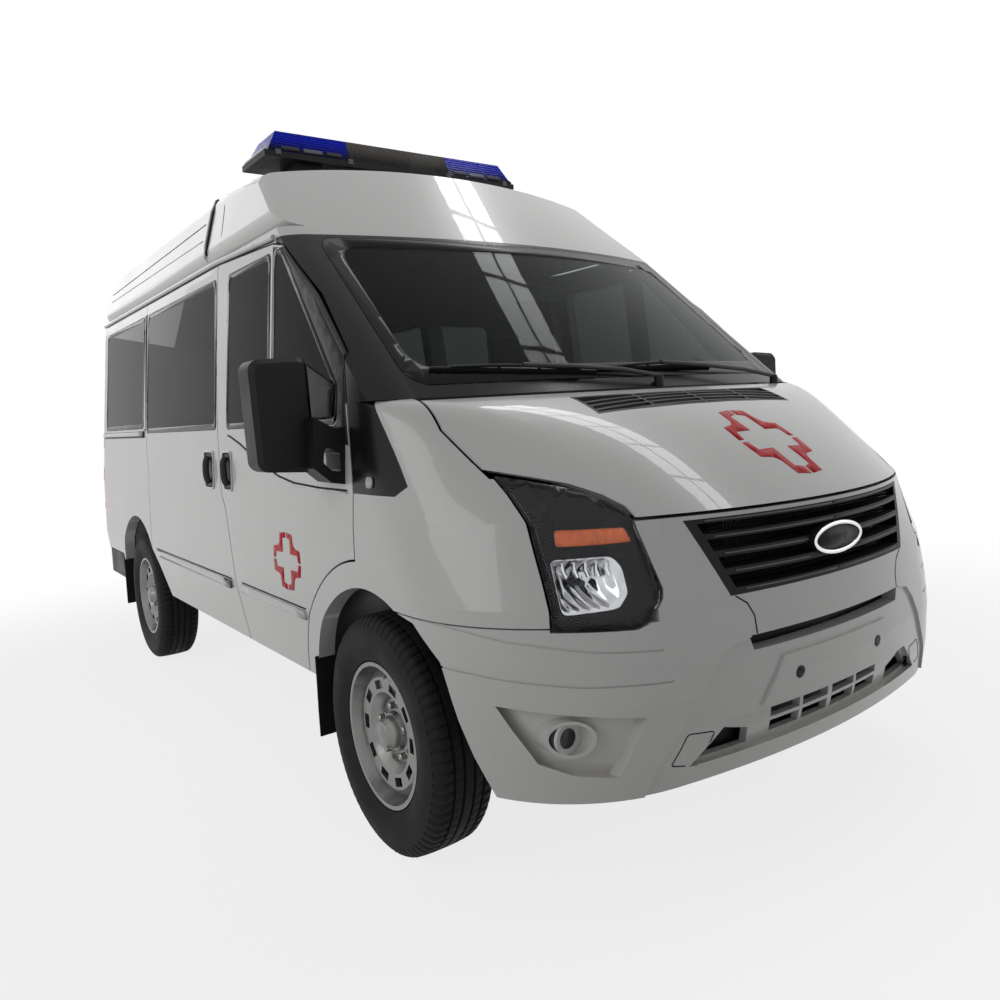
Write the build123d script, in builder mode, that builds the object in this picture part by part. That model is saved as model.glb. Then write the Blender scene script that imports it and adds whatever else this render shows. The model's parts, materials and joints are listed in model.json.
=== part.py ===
from build123d import *
import math
import os

# Short-wheelbase panel-van ambulance with a raised roof, in millimetres.
# x points to the vehicle's left, y to its rear, z up; the origin is on the ground at mid length.

# ---------------------------------------------------------------- driving dimensions
LENGTH = 4863
WHEELBASE = 2933
FRONT_OVERHANG = 933
TRACK = 1740
TYRE_RADIUS = 354
TYRE_WIDTH = 200
RIM_RADIUS = 215
RIM_DEPTH = 170
STEER_PIVOT_X = 790

HALF_LENGTH = LENGTH / 2
FRONT_AXLE_Y = FRONT_OVERHANG - HALF_LENGTH
REAR_AXLE_Y = FRONT_AXLE_Y + WHEELBASE
WHEEL_X = TRACK / 2
HUB_Z = TYRE_RADIUS

WALL = 55  # body sides and doors, skin to trim
FRAME_DEPTH = 110  # pillars and rails, skin to trim
BONNET_GAP = 8  # seam round the bonnet, whose skin swings forwards a little as it lifts
BONNET_STEP = 42  # how far the bonnet's inner frame stands in from its edge
HEM = 16  # depth of a door's outer skin with its folded edge
HEM_STEP = 14  # how far the door's inner frame stands in from the hem
GLASS = 6
GAP = 6.5  # seam between a moving panel and its neighbours
PANE_LIP = 28  # how far a pane overlaps the edge of its opening
TAIL_Y = 2400  # rear face of the body, ahead of the bumper
TAIL_RADIUS = 60
NOSE_END_Y = 2500  # the front lofts run on behind the tail, where nothing is cut from them
CABIN_FRONT_Y = -1700
CORNER_BULGE = 0.12
SILL_Z = 440
DOOR_TOP_Z = 1962
BUMPER_TOP_Z = 760
BONNET_FRONT_Z = 1000
COWL_Z = 1336
SCREEN_TOP_Z = 1940
ROOF_BASE_Z = 1985
REAR_BUMPER_Y = 1930
REAR_BUMPER_BASE = 400
BUMPER_HALF = 975
RAIL_X = 415
RAIL_WIDTH = 70
RAIL_HEIGHT = 110
RAIL_FRONT_Y = -2240
RAIL_REAR_Y = HALF_LENGTH - 60
FRAME_Z = 505
CROSSMEMBERS = (300, 1050, 1960, 2300)
GEARBOX_Z = 440
GEARBOX_REAR_Y = -800
SUBFRAME_Z = 390
ARM_Z = 192
ARM_THICKNESS = 26
STRUT_X = 650
PIN_RADIUS = 14
PIN_LENGTH = 40
STUB_RADIUS = 30
STUB_LENGTH = 125
HUB_BORE = STUB_RADIUS + 0.1
BEAD_RADIUS = 203
BRAKE_RADIUS = 130
SPRING_X = 560
SPRING_REACH = 620
PLATE_HOLE_X = 185
PLATE_HOLE_RADIUS = 4
PLATE_Z = 553
FRONT_BEAM_TOP = 530
FIXING_HOLES = (200, 500, 1700)  # stretcher fixings in the load floor: x, first y, last y
FIXING_RADIUS = 5.5
JACK_PADS = (-600, 700)
JACK_PAD_Z = 438
WHEEL_BOX_X = 712
WHEEL_BOX_WALL = 10
WHEEL_ROOM_X = 562
MUD_FLAPS = (-1095.5, 1893.5)
MUD_FLAP_BASE = 245
MUD_FLAP_X = 835
LINER_WALL = 12
STEERING_WHEEL = (430, -930, 1110)
STEERING_AXIS = (0, 0.72, 0.69)
STEERING_RADIUS = 190
EXHAUST_X = -300
EXHAUST_Z = 262
PIPE_RADIUS = 25
EXHAUST_ROUTE = ((-140, -900, 400), (EXHAUST_X, -900, 400), (EXHAUST_X, -700, EXHAUST_Z), (EXHAUST_X, 2330, EXHAUST_Z))
SILENCER = (450, 950, 80)  # y from, y to and radius
HANGERS = (300, 1050, 1960)
TANK = ((452, -500, 320), (840, 480, 560))
DASH_HALF = 832
DASH = ((-1440, 825), (-1210, 825), (-1160, 950), (-1110, 1130), (-1130, 1250), (-1250, 1300), (-1440, 1318))
SEAT_X = 430
BAR_Y = 40
BAR_BASE_Z = 2452
BAR_TOP_Z = 2577
BAR_HALF = 660
BAR_TOP_HALF = 592
BAR_SPLIT = 262
REAR_BUMPER_TOP = 552
FLOOR_Z = 600
FLOOR_THICKNESS = 40
SEAT_SIDE = ((-900, FLOOR_Z), (-420, FLOOR_Z), (-400, 900), (-250, 1480), (-340, 1510), (-470, 940), (-520, 870),
             (-930, 890), (-940, 790))
HEADREST = ((-255, 1470), (-235, 1660), (-310, 1680), (-340, 1480))

# Half width of the body side, (z, x): sill tuck-under, rub line, waist crease, glass, raised roof.
SIDE = ((330, 940), (430, 962), (660, 985), (965, 978), (1336, 949), (1940, 893), (1985, 886),
        (2300, 806), (2480, 760))

# Plan sections of the nose, (z, nose y at the centre line, end of the bow x, y there, wall factor along y).
BUMPER_LEVELS = ((330, -2385, 560, -2325, 1), (430, -2412, 560, -2345, 1), (560, -2431.5, 560, -2358, 1),
                 (660, -2431.5, 560, -2354, 1), (800, -2425, 560, -2338, 1), (965, -2417, 592, -2274, 1.1),
                 (1006, -2415, 600, -2258, 1.2))
BONNET_LEVELS = ((1006, -2415, 600, -2258, 1.2), (1080, -2312, 600, -2170, 1.4),
                 (1151, -2208, 605, -2080, 1.5), (1247, -2044, 660, -1925, 1.6), (1336, -1765, 831, -1627, 1.6))
# Plan sections of the windscreen and of the roof's front, with the y where the corner meets the side.
SCREEN_LEVELS = ((1336, -1765, 831, -1627, 1.6, -1548), (1940, -1030, 803, -908, 1.6, -835),
                 (1985, -974, 797, -852, 1.6, -785))
CAP_LEVELS = ((1985, -974, 797, -852, 1.6, -785), (2273, -615, 760, -485, 1.6, -402),
              (2480, -357, 733, -221, 1.6, -127))

# Raised roof, (y, height of the roof edge, height of the crown).
ROOF_STATIONS = ((-1000, 2215, 2220), (-50, 2300, 2437), (2330, 2300, 2437), (TAIL_Y, 2270, 2400))

# Side-view outlines, (y, z).
FRONT_DOOR = ((-105, DOOR_TOP_Z), (-101, 1569), (-132, 1252), (-184, 1017), (-236, 957), (-388, SILL_Z),
              (-1457, SILL_Z), (-1457, 1076), (-1385, 1486), (-1153, 1693), (-868, 1905), (-760, 1928))
WING_FLARE = (-1515, 345, 535)  # centre y, z and radius of the flare that the door follows
SLIDING_DOOR = ((1171, DOOR_TOP_Z), (1171, 1264), (1100, 1060), (1100, SILL_Z), (-388, SILL_Z),
                (-236, 957), (-184, 1017), (-132, 1252), (-101, 1569), (-105, DOOR_TOP_Z))
BODY_SIDE = ((-790, 1945), (-105, ROOF_BASE_Z), (TAIL_Y + 5, ROOF_BASE_Z), (TAIL_Y + 5, SILL_Z),
             (-380, SILL_Z), (-380, 1900), (-790, 1900))
PILLAR = ((-1800, COWL_Z), (-1411, COWL_Z), (-1385, 1486), (-1153, 1693), (-868, 1905), (-790, 1945),
          (-1110, 1945))
WING = ((-985, SILL_Z), (-985, 900), (-1430, 1065), (-1430, COWL_Z - 1), (-2380, COWL_Z - 1),
        (-2380, BUMPER_TOP_Z + 2), (-1400, BUMPER_TOP_Z + 2), (-1400, SILL_Z))
ROOF_BASE = ((-1110, 1945), (-790, 1945), (-105, ROOF_BASE_Z), (TAIL_Y + 5, ROOF_BASE_Z),
             (TAIL_Y + 5, 2500), (-1110, 2500))
TAIL_LAMP = ((2206, 792), (2283, 1054), (2343, 1246), (TAIL_Y - 8, 1401), (TAIL_Y + 5, 1401), (TAIL_Y + 5, 792))
SAIL = ((-1560, COWL_Z), (-1746, 1098), (-1701, 1071), (-1457, 1071), (-1457, 1076), (-1411, COWL_Z))

# Pillars, rails and sills behind the skin of each side, (y from, y to, z from, z to).
FRAME_MEMBERS = ((-780, 2345, 1895, ROOF_BASE_Z), (-190, -60, 600, ROOF_BASE_Z),
                 (1110, 1230, 830, ROOF_BASE_Z), (-980, 940, SILL_Z, 560))
GRILLE_SLOTS = ((948, 975), (904, 934), (858, 888), (808, 842))
BADGE = (887, 113, 45)  # blank oval on the grille: z, half width, half height

# The bonnet's air intake in plan, (x, y of the rear edge, y of the front edge) from the centre outwards.
VENT = ((0, -1868, -1990), (220, -1860, -1984), (440, -1835, -1965))
VENT_RIBS = (-220, 0, 220)
VENT_SLATS = 4
VENT_DEPTH = 22

# The bumper's face, front-view outlines (x, z) of the left half with their depth below the skin.
CENTRE_STEP = ((324, 682), (414, 667), (463, 624), (621, 405), (650, 330), (-650, 330), (-621, 405), (-463, 624),
               (-414, 667), (-324, 682))
PLATE_PAD = ((240, 609), (313, 491), (-313, 491), (-240, 609))
STEP_DEPTH = 9
FOG_RECESS = ((916, 572), (652, 534), (711, 392), (796, 404), (857, 434), (896, 520))
FOG_LAMP = (800, 494, 46, 38)  # x, z, bezel radius, lens radius
FOG_LAMP_REAR = 200
RECESS_DEPTH = 32
CREASES = (((985, 654), (900, 638), (776, 621), (586, 612)),
           ((985, 764), (892, 730), (739, 700), (602, 690)))
CREASE_WIDTH = 5
CREASE_DEPTH = 4
INTAKE_HOLES = (((508, 386), (425, 452), (330, 428), (330, 386)), ((250, 436), (250, 468), (135, 468), (135, 436)),
                ((122, 436), (122, 468), (10, 468), (10, 436)), ((250, 396), (250, 426), (135, 426), (135, 396)),
                ((122, 396), (122, 426), (10, 426), (10, 396)))

# Wheel openings, (y, z, radius), with the widened foot of each as an outline.
FRONT_ARCH = (-1520, 345, 452)
FRONT_ARCH_FOOT = ((-1700, 760), (-1800, 745), (-1913, 662), (-1955, 517), (-2045, 300), (-1085, 300),
                   (-1085, 440), (-1134, 553))
REAR_ARCH = (1450, 330, 483)
REAR_ARCH_FOOT = ((1100, 664), (985, 576), (840, 440), (800, 300), (1925, 300))

# Panes, (y, z), with their corner radius.
DOOR_PANE = ((-240, 1903), (-745, 1903), (-745, 1275), (-240, 1275))
QUARTER_PANE = ((-772, 1903), (-852, 1903), (-1345, 1395), (-1341, 1275), (-772, 1275))
SLIDER_PANE = ((-85, 1910), (1160, 1910), (1160, 1275), (-110, 1275))
REAR_PANE = ((1225, 1910), (2262, 1910), (2262, 1300), (1225, 1300))
PANE_RADIUS = 28

# Front-view outlines, (x, z), of the left half.
SCREEN = ((800, 1931), (826, 1372), (-826, 1372), (-800, 1931))
HEADLAMP = ((600, 991), (604, 1028), (631, 1055), (682, 1085), (746, 1106), (814, 1127), (807, 1075),
            (805, 1006), (812, 862), (821, 751), (652, 745), (625, 755), (581, 810), (574, 833))
GRILLE = ((490, 987), (400, 790), (-400, 790), (-490, 987))
BUMPER_FRONT = ((1000, 320), (1000, BUMPER_TOP_Z - 2), (598, BUMPER_TOP_Z - 2), (598, BONNET_FRONT_Z - 3),
                (-598, BONNET_FRONT_Z - 3), (-598, BUMPER_TOP_Z - 2), (-1000, BUMPER_TOP_Z - 2), (-1000, 320))
UPPER_SLOT = ((350, 682), (335, 640), (-335, 640), (-350, 682))
LOWER_INTAKE = ((530, 378), (415, 476), (-415, 476), (-530, 378))
REAR_DOOR = ((3, 562), (3, 1950), (740, 1950), (795, 1400), (795, 562))
REAR_DOOR_PANE = ((110, 1310), (110, 1850), (660, 1850), (700, 1310))

# Mirror head and arm, (x, z), and the loop between the arm and the door.
MIRROR_HEAD = ((1022, 1135), (1195, 1150), (1205, 1474), (1030, 1482))
MIRROR_ARM = ((935, 1272), (985, 1262), (1050, 1300), (1060, 1150), (1010, 1105), (935, 1088))
MIRROR_LOOP = ((978, 1190), (1022, 1212), (1030, 1165), (1006, 1140), (978, 1132))
MIRROR_Y = (-1345, -1245)
ARM_Y = (-1405, -1300)

# Bonnet plan outline, (x, y), left half: rear corner, wing seam, lamp tip, lamp, ahead of the nose.
BONNET_SEAM = ((838, -1633), (848, -1786), (812, -1955), (700, -2100), (598, -2250), (598, -2460))


def side_x(z):
    """Half width of the body at height z."""
    for (z0, x0), (z1, x1) in zip(SIDE, SIDE[1:]):
        if z <= z1:
            return x0 + (x1 - x0) * (z - z0) / (z1 - z0)
    return SIDE[-1][1]


def plan_section(inset, z, nose_y, bow_x, bow_y, wall_factor, corner_y=None):
    """Bowed front, corners and straight sides; without corner_y the corners are tangent to bow and sides."""
    nose_y += wall_factor * inset
    bow_y += wall_factor * inset
    half = side_x(z) - inset
    bow_x = min(bow_x, half - 25)
    if corner_y is None:
        heading = 2 * math.atan((bow_y - nose_y) / bow_x)
        middle = (heading + math.pi / 2) / 2
        radius = (half - bow_x) / (1 - math.sin(heading))
        corner_y = bow_y + radius * math.cos(heading)
        bend = (half - radius * (1 - math.sin(middle)), corner_y - radius * math.cos(middle))
    else:
        corner_y += wall_factor * inset
        run_x, run_y = half - bow_x, corner_y - bow_y
        bend = (bow_x + run_x / 2 + CORNER_BULGE * run_y, bow_y + run_y / 2 - CORNER_BULGE * run_x)
    with BuildSketch(Plane.XY.offset(z)) as section:
        with BuildLine():
            ThreePointArc((-bow_x, bow_y), (0, nose_y), (bow_x, bow_y))
            ThreePointArc((bow_x, bow_y), bend, (half, corner_y))
            Polyline((half, corner_y), (half, NOSE_END_Y), (-half, NOSE_END_Y), (-half, corner_y))
            ThreePointArc((-half, corner_y), (-bend[0], bend[1]), (-bow_x, bow_y))
        make_face()
    return section.sketch


def front_volume(levels, inset, ruled=True):
    """A zone of the nose or of the roof's front, its skin moved inwards by inset."""
    with BuildPart() as volume:
        loft([plan_section(inset, *level) for level in levels], ruled=ruled)
    return volume.part


def cabin_volume(inset):
    """Straight body sides with their tumblehome and round tail corners, up to the drip rail."""
    sections = []
    for z, x in SIDE[:-2]:
        half, tail_y = x - inset, TAIL_Y - inset
        with BuildSketch(Plane.XY.offset(z)) as section:
            with BuildLine():
                Polyline((-half, CABIN_FRONT_Y), (-half, tail_y), (half, tail_y), (half, CABIN_FRONT_Y), close=True)
            make_face()
            fillet(section.vertices().group_by(Axis.Y)[-1], radius=TAIL_RADIUS - inset / 2)
        sections.append(section.sketch)
    with BuildPart() as volume:
        loft(sections, ruled=True)
    return volume.part


def roof_volume(inset):
    """The raised roof above the drip rail: a crowned loft along y, cut by the raked and bowed front."""
    stations = []
    for y, edge_z, crown_z in ROOF_STATIONS:
        base_x, edge_x = side_x(ROOF_BASE_Z) - inset, side_x(edge_z) - inset
        edge_z, crown_z = edge_z - inset * 0.6, crown_z - inset
        with BuildSketch(Plane.XZ.offset(inset * (y == TAIL_Y) - y)) as station:
            with BuildLine():
                Polyline((-edge_x, edge_z), (-base_x, ROOF_BASE_Z), (base_x, ROOF_BASE_Z), (edge_x, edge_z))
                ThreePointArc((edge_x, edge_z), (0, crown_z), (-edge_x, edge_z))
            make_face()
            fillet(station.vertices().group_by(Axis.Z)[-1], radius=70 - inset / 2)
        stations.append(station.sketch)
    with BuildPart() as volume:
        loft(stations, ruled=True)
        loft([plan_section(inset, *level) for level in CAP_LEVELS], ruled=True, mode=Mode.INTERSECT)
    return volume.part


def side_prism(points, side, grow=0, radius=0, round_cut=None):
    """Prism across one half of the vehicle from a side-view outline of (y, z) points."""
    with BuildPart() as prism:
        with BuildSketch(Plane.YZ) as outline:
            with BuildLine():
                Polyline(*points, close=True)
            make_face()
            if radius:
                fillet(outline.vertices(), radius=radius)
            if round_cut:
                with Locations(round_cut[:2]):
                    Circle(round_cut[2], mode=Mode.SUBTRACT)
            if grow:
                offset(amount=grow, kind=Kind.INTERSECTION)
        extrude(amount=side * 1100)
    return prism.part


def front_prism(points, y_from, y_to, grow=0, radius=0):
    """Prism along the vehicle from a front-view outline of (x, z) points."""
    with BuildPart() as prism:
        with BuildSketch(Plane.XZ.offset(-y_to)) as outline:
            with BuildLine():
                Polyline(*points, close=True)
            make_face()
            if radius:
                fillet(outline.vertices(), radius=radius)
            if grow:
                offset(amount=grow, kind=Kind.INTERSECTION)
        extrude(amount=y_to - y_from)
    return prism.part


def bonnet_prism(grow, low_z, high_z):
    """Prism through the bonnet's plan outline, its rear edge along the foot of the windscreen."""
    half = list(BONNET_SEAM)
    rear_x, rear_y = half[0]
    with BuildPart() as prism:
        with BuildSketch(Plane.XY.offset(low_z)):
            with BuildLine():
                ThreePointArc((-rear_x, rear_y), (0, BONNET_LEVELS[-1][1] - GAP), (rear_x, rear_y))
                Polyline(*half)
                Line(half[-1], (-half[-1][0], half[-1][1]))
                Polyline(*[(-x, y) for x, y in half])
            make_face()
            if grow:
                offset(amount=grow, kind=Kind.INTERSECTION)
        extrude(amount=high_z - low_z)
    return prism.part


def box_between(low, high):
    """Box from its low corner to its high corner."""
    with BuildPart() as block:
        with Locations(tuple((a + b) / 2 for a, b in zip(low, high))):
            Box(*[b - a for a, b in zip(low, high)])
    return block.part


def half_view(points, side):
    """A front-view outline on the left for side 1, on the right for side -1."""
    return [(side * x, z) for x, z in points]


def wheel_openings(side):
    """Wheel openings of one side: round arches that widen at the foot."""
    with BuildPart() as cut:
        with BuildSketch(Plane.YZ):
            for (y, z, radius), foot in ((FRONT_ARCH, FRONT_ARCH_FOOT), (REAR_ARCH, REAR_ARCH_FOOT)):
                with Locations((y, z)):
                    Circle(radius)
                with BuildLine():
                    Polyline(*foot, close=True)
                make_face()
        extrude(amount=side * 1100)
    return cut.part


def layer(outside, inside):
    """The wall between two nested volumes."""
    with BuildPart() as wall:
        add(outside)
        add(inside, mode=Mode.SUBTRACT)
    return wall.part


def piece(stock, within, without=(), plus=()):
    """Stock kept inside one outline, with others cut away and more added."""
    with BuildPart() as result:
        add(stock)
        add(within, mode=Mode.INTERSECT)
        for extra in plus:
            add(extra)
        for cut in without:
            add(cut, mode=Mode.SUBTRACT)
    return result.part


def fused(shapes):
    """Several shapes as one."""
    with BuildPart() as group:
        for shape in shapes:
            add(shape)
    return group.part


def groove(points, width, y_from, y_to, side):
    """Narrow prism along the vehicle that follows a line of (x, z) points in front view."""
    with BuildPart() as strip:
        for (x0, z0), (x1, z1) in zip(points, points[1:]):
            length = math.hypot(x1 - x0, z1 - z0)
            with Locations(((x0 + x1) / 2 * side, (y_from + y_to) / 2, (z0 + z1) / 2)):
                Box(length + width, y_to - y_from, width,
                    rotation=(0, -math.degrees(math.atan2(z1 - z0, (x1 - x0) * side)), 0))
    return strip.part


def door_panel(stock, flange, outline, rim_outline, without=()):
    """A door in the wall's thickness: an outer skin with its hem, and an inner frame set in from the edge."""
    with BuildPart() as panel:
        add(piece(stock, rim_outline))
        add(piece(flange, outline))
        for cut in without:
            add(cut, mode=Mode.SUBTRACT)
    return panel.part


def save(shape, name):
    """Labels one finished piece and writes it."""
    shape.label = name
    export_step(shape, f"parts/{name}.step")


os.makedirs("parts", exist_ok=True)

# ---------------------------------------------------------------- nested body surfaces
SIDES = ((1, "left"), (-1, "right"))
cabin = cabin_volume(0)
shell = layer(cabin, cabin_volume(WALL))
skin = layer(cabin, cabin_volume(GLASS))
door_layer = layer(cabin, cabin_volume(WALL + GAP))
frame_layer = layer(cabin, cabin_volume(FRAME_DEPTH))
hem = layer(cabin, cabin_volume(HEM))
bumper_volume = front_volume(BUMPER_LEVELS, 0)
bonnet_volume = front_volume(BONNET_LEVELS, 0, ruled=False)
nose_low = layer(bumper_volume, front_volume(BUMPER_LEVELS, WALL))
nose_high = layer(bonnet_volume, front_volume(BONNET_LEVELS, WALL, ruled=False))
bonnet_skin = layer(bonnet_volume, front_volume(BONNET_LEVELS, GLASS, ruled=False))
screen_volume = front_volume(SCREEN_LEVELS, 0)
screen_shell = layer(screen_volume, front_volume(SCREEN_LEVELS, WALL))
screen_skin = layer(screen_volume, front_volume(SCREEN_LEVELS, GLASS))
roof_shell = layer(roof_volume(0), roof_volume(WALL))
openings = {side: wheel_openings(side) for side, _ in SIDES}


def glazing(outline, side):
    """A bonded pane and the two cuts that seat it: its pocket in the skin and the smaller opening."""
    pane = piece(skin, side_prism(outline, side, radius=PANE_RADIUS))
    opening = side_prism(outline, side, grow=-PANE_LIP, radius=PANE_RADIUS + 1)
    return pane, opening


# ---------------------------------------------------------------- front doors
for side, name in SIDES:
    panes, cuts = zip(*[glazing(outline, side) for outline in (DOOR_PANE, QUARTER_PANE)])
    door = door_panel(shell, hem, side_prism(FRONT_DOOR, side, round_cut=WING_FLARE),
                      side_prism(FRONT_DOOR, side, grow=-HEM_STEP, round_cut=WING_FLARE), without=panes + cuts)
    save(door, f"front_door_{name}")
    with BuildPart() as door_glass:
        for pane in panes:
            add(pane)
    save(door_glass.part, f"front_door_glass_{name}")

door_cuts = {side: side_prism(FRONT_DOOR, side, grow=GAP, round_cut=WING_FLARE) for side, _ in SIDES}
slider_cut = side_prism(SLIDING_DOOR, -1, grow=GAP)

# ---------------------------------------------------------------- sliding door and fixed side panes
slider_pane, slider_opening = glazing(SLIDER_PANE, -1)
rear_right_pane, rear_right_opening = glazing(REAR_PANE, -1)
middle_left_pane, middle_left_opening = glazing(SLIDER_PANE, 1)
rear_left_pane, rear_left_opening = glazing(REAR_PANE, 1)
sliding_door = piece(shell, side_prism(SLIDING_DOOR, -1),
                     without=(side_prism(FRONT_DOOR, -1, grow=GAP), openings[-1], slider_pane, slider_opening))
save(sliding_door, "sliding_door")
with BuildPart() as side_glass:
    for pane in (slider_pane, rear_right_pane, middle_left_pane, rear_left_pane):
        add(pane)
save(side_glass.part, "side_glass")

# ---------------------------------------------------------------- body sides with pillars, rails and sills
rear_opening = front_prism([(-801, 500), (-801, 1400), (-746, 1956), (746, 1956), (801, 1400), (801, 500)],
                           TAIL_Y - 75, TAIL_Y + 10)
for side, name in SIDES:
    reach = sorted((0, side * 1100))
    with BuildPart() as body_side:
        add(shell)
        add(side_prism(BODY_SIDE, side), mode=Mode.INTERSECT)
        for y_from, y_to, z_from, z_to in FRAME_MEMBERS:
            add(piece(frame_layer, box_between((reach[0], y_from, z_from), (reach[1], y_to, z_to))))
        add(piece(door_layer, door_cuts[side]), mode=Mode.SUBTRACT)
        add(openings[side], mode=Mode.SUBTRACT)
        add(rear_opening, mode=Mode.SUBTRACT)
        add(side_prism(TAIL_LAMP, side), mode=Mode.SUBTRACT)
        add(side_prism(ROOF_BASE, side), mode=Mode.SUBTRACT)
        add(box_between((-1100, REAR_BUMPER_Y, 300), (1100, HALF_LENGTH, REAR_BUMPER_TOP)), mode=Mode.SUBTRACT)
        if side < 0:
            add(piece(shell, slider_cut), mode=Mode.SUBTRACT)
            cuts = (rear_right_pane, rear_right_opening)
        else:
            cuts = (middle_left_pane, middle_left_opening, rear_left_pane, rear_left_opening)
        for cut in cuts:
            add(cut, mode=Mode.SUBTRACT)
    save(body_side.part, f"body_side_{name}")

# ---------------------------------------------------------------- tail lamps and rear doors
with BuildPart() as tail_lamps:
    for side, _ in SIDES:
        add(piece(shell, side_prism(TAIL_LAMP, side), without=(rear_opening,)))
save(tail_lamps.part, "tail_lamps")
for side, name in SIDES:
    pane = piece(skin, front_prism(half_view(REAR_DOOR_PANE, side), TAIL_Y - 100, TAIL_Y + 10, radius=PANE_RADIUS))
    opening = front_prism(half_view(REAR_DOOR_PANE, side), TAIL_Y - 100, TAIL_Y + 10, grow=-PANE_LIP,
                          radius=PANE_RADIUS + 1)
    door = door_panel(shell, hem, front_prism(half_view(REAR_DOOR, side), TAIL_Y - 70, TAIL_Y + 10),
                      front_prism(half_view(REAR_DOOR, side), TAIL_Y - 70, TAIL_Y + 10, grow=-HEM_STEP),
                      without=(pane, opening))
    save(door, f"rear_door_{name}")
    save(pane, f"rear_door_glass_{name}")

# ---------------------------------------------------------------- raised roof
roof_region = [side_prism(ROOF_BASE, side) for side, _ in SIDES]
with BuildPart() as high_roof:
    add(roof_shell)
    for side, _ in SIDES:
        add(piece(shell, side_prism(ROOF_BASE, side), without=(box_between((-1100, -2000, 0), (1100, -785, 2500)),)))
        add(piece(screen_shell, side_prism(ROOF_BASE, side), without=(box_between((-1100, -785, 0), (1100, 2600, 2500)),)))
save(high_roof.part, "high_roof")

# ---------------------------------------------------------------- wheel-house liners
with BuildPart() as arch_liners:
    y, z, radius = FRONT_ARCH
    for side, _ in SIDES:
        with BuildSketch(Plane.YZ.offset(side * WHEEL_ROOM_X)):
            with Locations((y, z)):
                Circle(radius + LINER_WALL)
                Circle(radius, mode=Mode.SUBTRACT)
        extrude(amount=side * 400)
    add(box_between((-1100, -2400, 0), (1100, 0, 485)), mode=Mode.SUBTRACT)
    add(front_volume(BUMPER_LEVELS, WALL), mode=Mode.INTERSECT)
save(arch_liners.part, "arch_liners")

# ---------------------------------------------------------------- windscreen and its frame with pillars and cowl
screen_pane = piece(screen_skin, front_prism(SCREEN, -1800, -800, radius=60))
save(screen_pane, "windscreen")
bonnet_room = bonnet_prism(BONNET_GAP, BONNET_FRONT_Z, COWL_Z + 5)
inner_nose = front_volume(BONNET_LEVELS, WALL, ruled=False)
with BuildPart() as windscreen_frame:
    for side, _ in SIDES:
        add(piece(screen_shell, side_prism(PILLAR, side)))
        add(piece(nose_high, side_prism(SAIL, side)))
    add(piece(nose_high, box_between((-842, -1775, 1150), (842, -1411, COWL_Z)), without=(bonnet_room,)))
    add(piece(box_between((-780, -1690, 1300), (780, -1440, 1320)), inner_nose, without=(bonnet_room,)))
    add(box_between((-880, -1452, 780), (880, -1440, 1320)))
    add(box_between((-560, -1452, 560), (560, -1440, 790)))
    for side, _ in SIDES:
        reach = sorted((0, side * 1100))
        add(piece(frame_layer, box_between((reach[0], -1452, 815), (reach[1], -1385, COWL_Z)), without=(shell,)))
        add(piece(door_layer, door_cuts[side]), mode=Mode.SUBTRACT)
    add(arch_liners.part, mode=Mode.SUBTRACT)
    add(screen_pane, mode=Mode.SUBTRACT)
    add(front_prism(SCREEN, -1800, -800, grow=-PANE_LIP, radius=61), mode=Mode.SUBTRACT)
save(windscreen_frame.part, "windscreen_frame")

# ---------------------------------------------------------------- bonnet, lamps, wings, bumper and grille
lamp_prisms = {side: front_prism(half_view(HEADLAMP, side), -2450, -1900) for side, _ in SIDES}
lamp_rooms = {side: front_prism(half_view(HEADLAMP, side), -2450, -1890, grow=BONNET_GAP) for side, _ in SIDES}
with BuildPart() as headlamps:
    for side, _ in SIDES:
        for stock in (nose_low, nose_high):
            add(piece(stock, lamp_prisms[side]))
save(headlamps.part, "headlamps")

vent_rear = [(x, y) for x, y, _ in VENT]
vent_front = [(x, y) for x, _, y in VENT]
vent_half, vent_rear_y, vent_front_y = VENT[-1][0], VENT[0][1], VENT[0][2]


def vent_prism(grow):
    """Prism down through the air intake's outline in the bonnet."""
    half = vent_front + vent_rear[::-1]
    with BuildPart() as prism:
        with BuildSketch(Plane.XY.offset(1150)):
            with BuildLine():
                Polyline(*half, *[(-x, y) for x, y in reversed(half[1:-1])], close=True)
            make_face()
            if grow:
                offset(amount=grow, kind=Kind.INTERSECTION)
        extrude(amount=200)
    return prism.part


with BuildPart() as bonnet:
    add(piece(bonnet_skin, bonnet_prism(0, BONNET_FRONT_Z + 6, COWL_Z - BONNET_GAP)))
    add(piece(nose_high, bonnet_prism(-BONNET_STEP, BONNET_FRONT_Z + 6, COWL_Z - BONNET_GAP)))
    for room in lamp_rooms.values():
        add(room, mode=Mode.SUBTRACT)
    add(vent_prism(0), mode=Mode.SUBTRACT)
save(bonnet.part, "bonnet")

with BuildPart() as vent_bars:
    for x in VENT_RIBS:
        add(box_between((x - 5, vent_front_y, 1150), (x + 5, vent_rear_y, 1350)))
    for index in range(VENT_SLATS):
        y = vent_front_y + (vent_rear_y - vent_front_y) * (index + 0.8) / (VENT_SLATS + 0.6)
        add(box_between((-vent_half, y - 4, 1150), (vent_half, y + 4, 1350)))
    add(vent_prism(0), mode=Mode.INTERSECT)
    add(layer(vent_prism(0), vent_prism(-11)))
bonnet_vent = piece(layer(bonnet_volume, front_volume(BONNET_LEVELS, VENT_DEPTH, ruled=False)), vent_bars.part)
save(bonnet_vent, "bonnet_vent")

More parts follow.
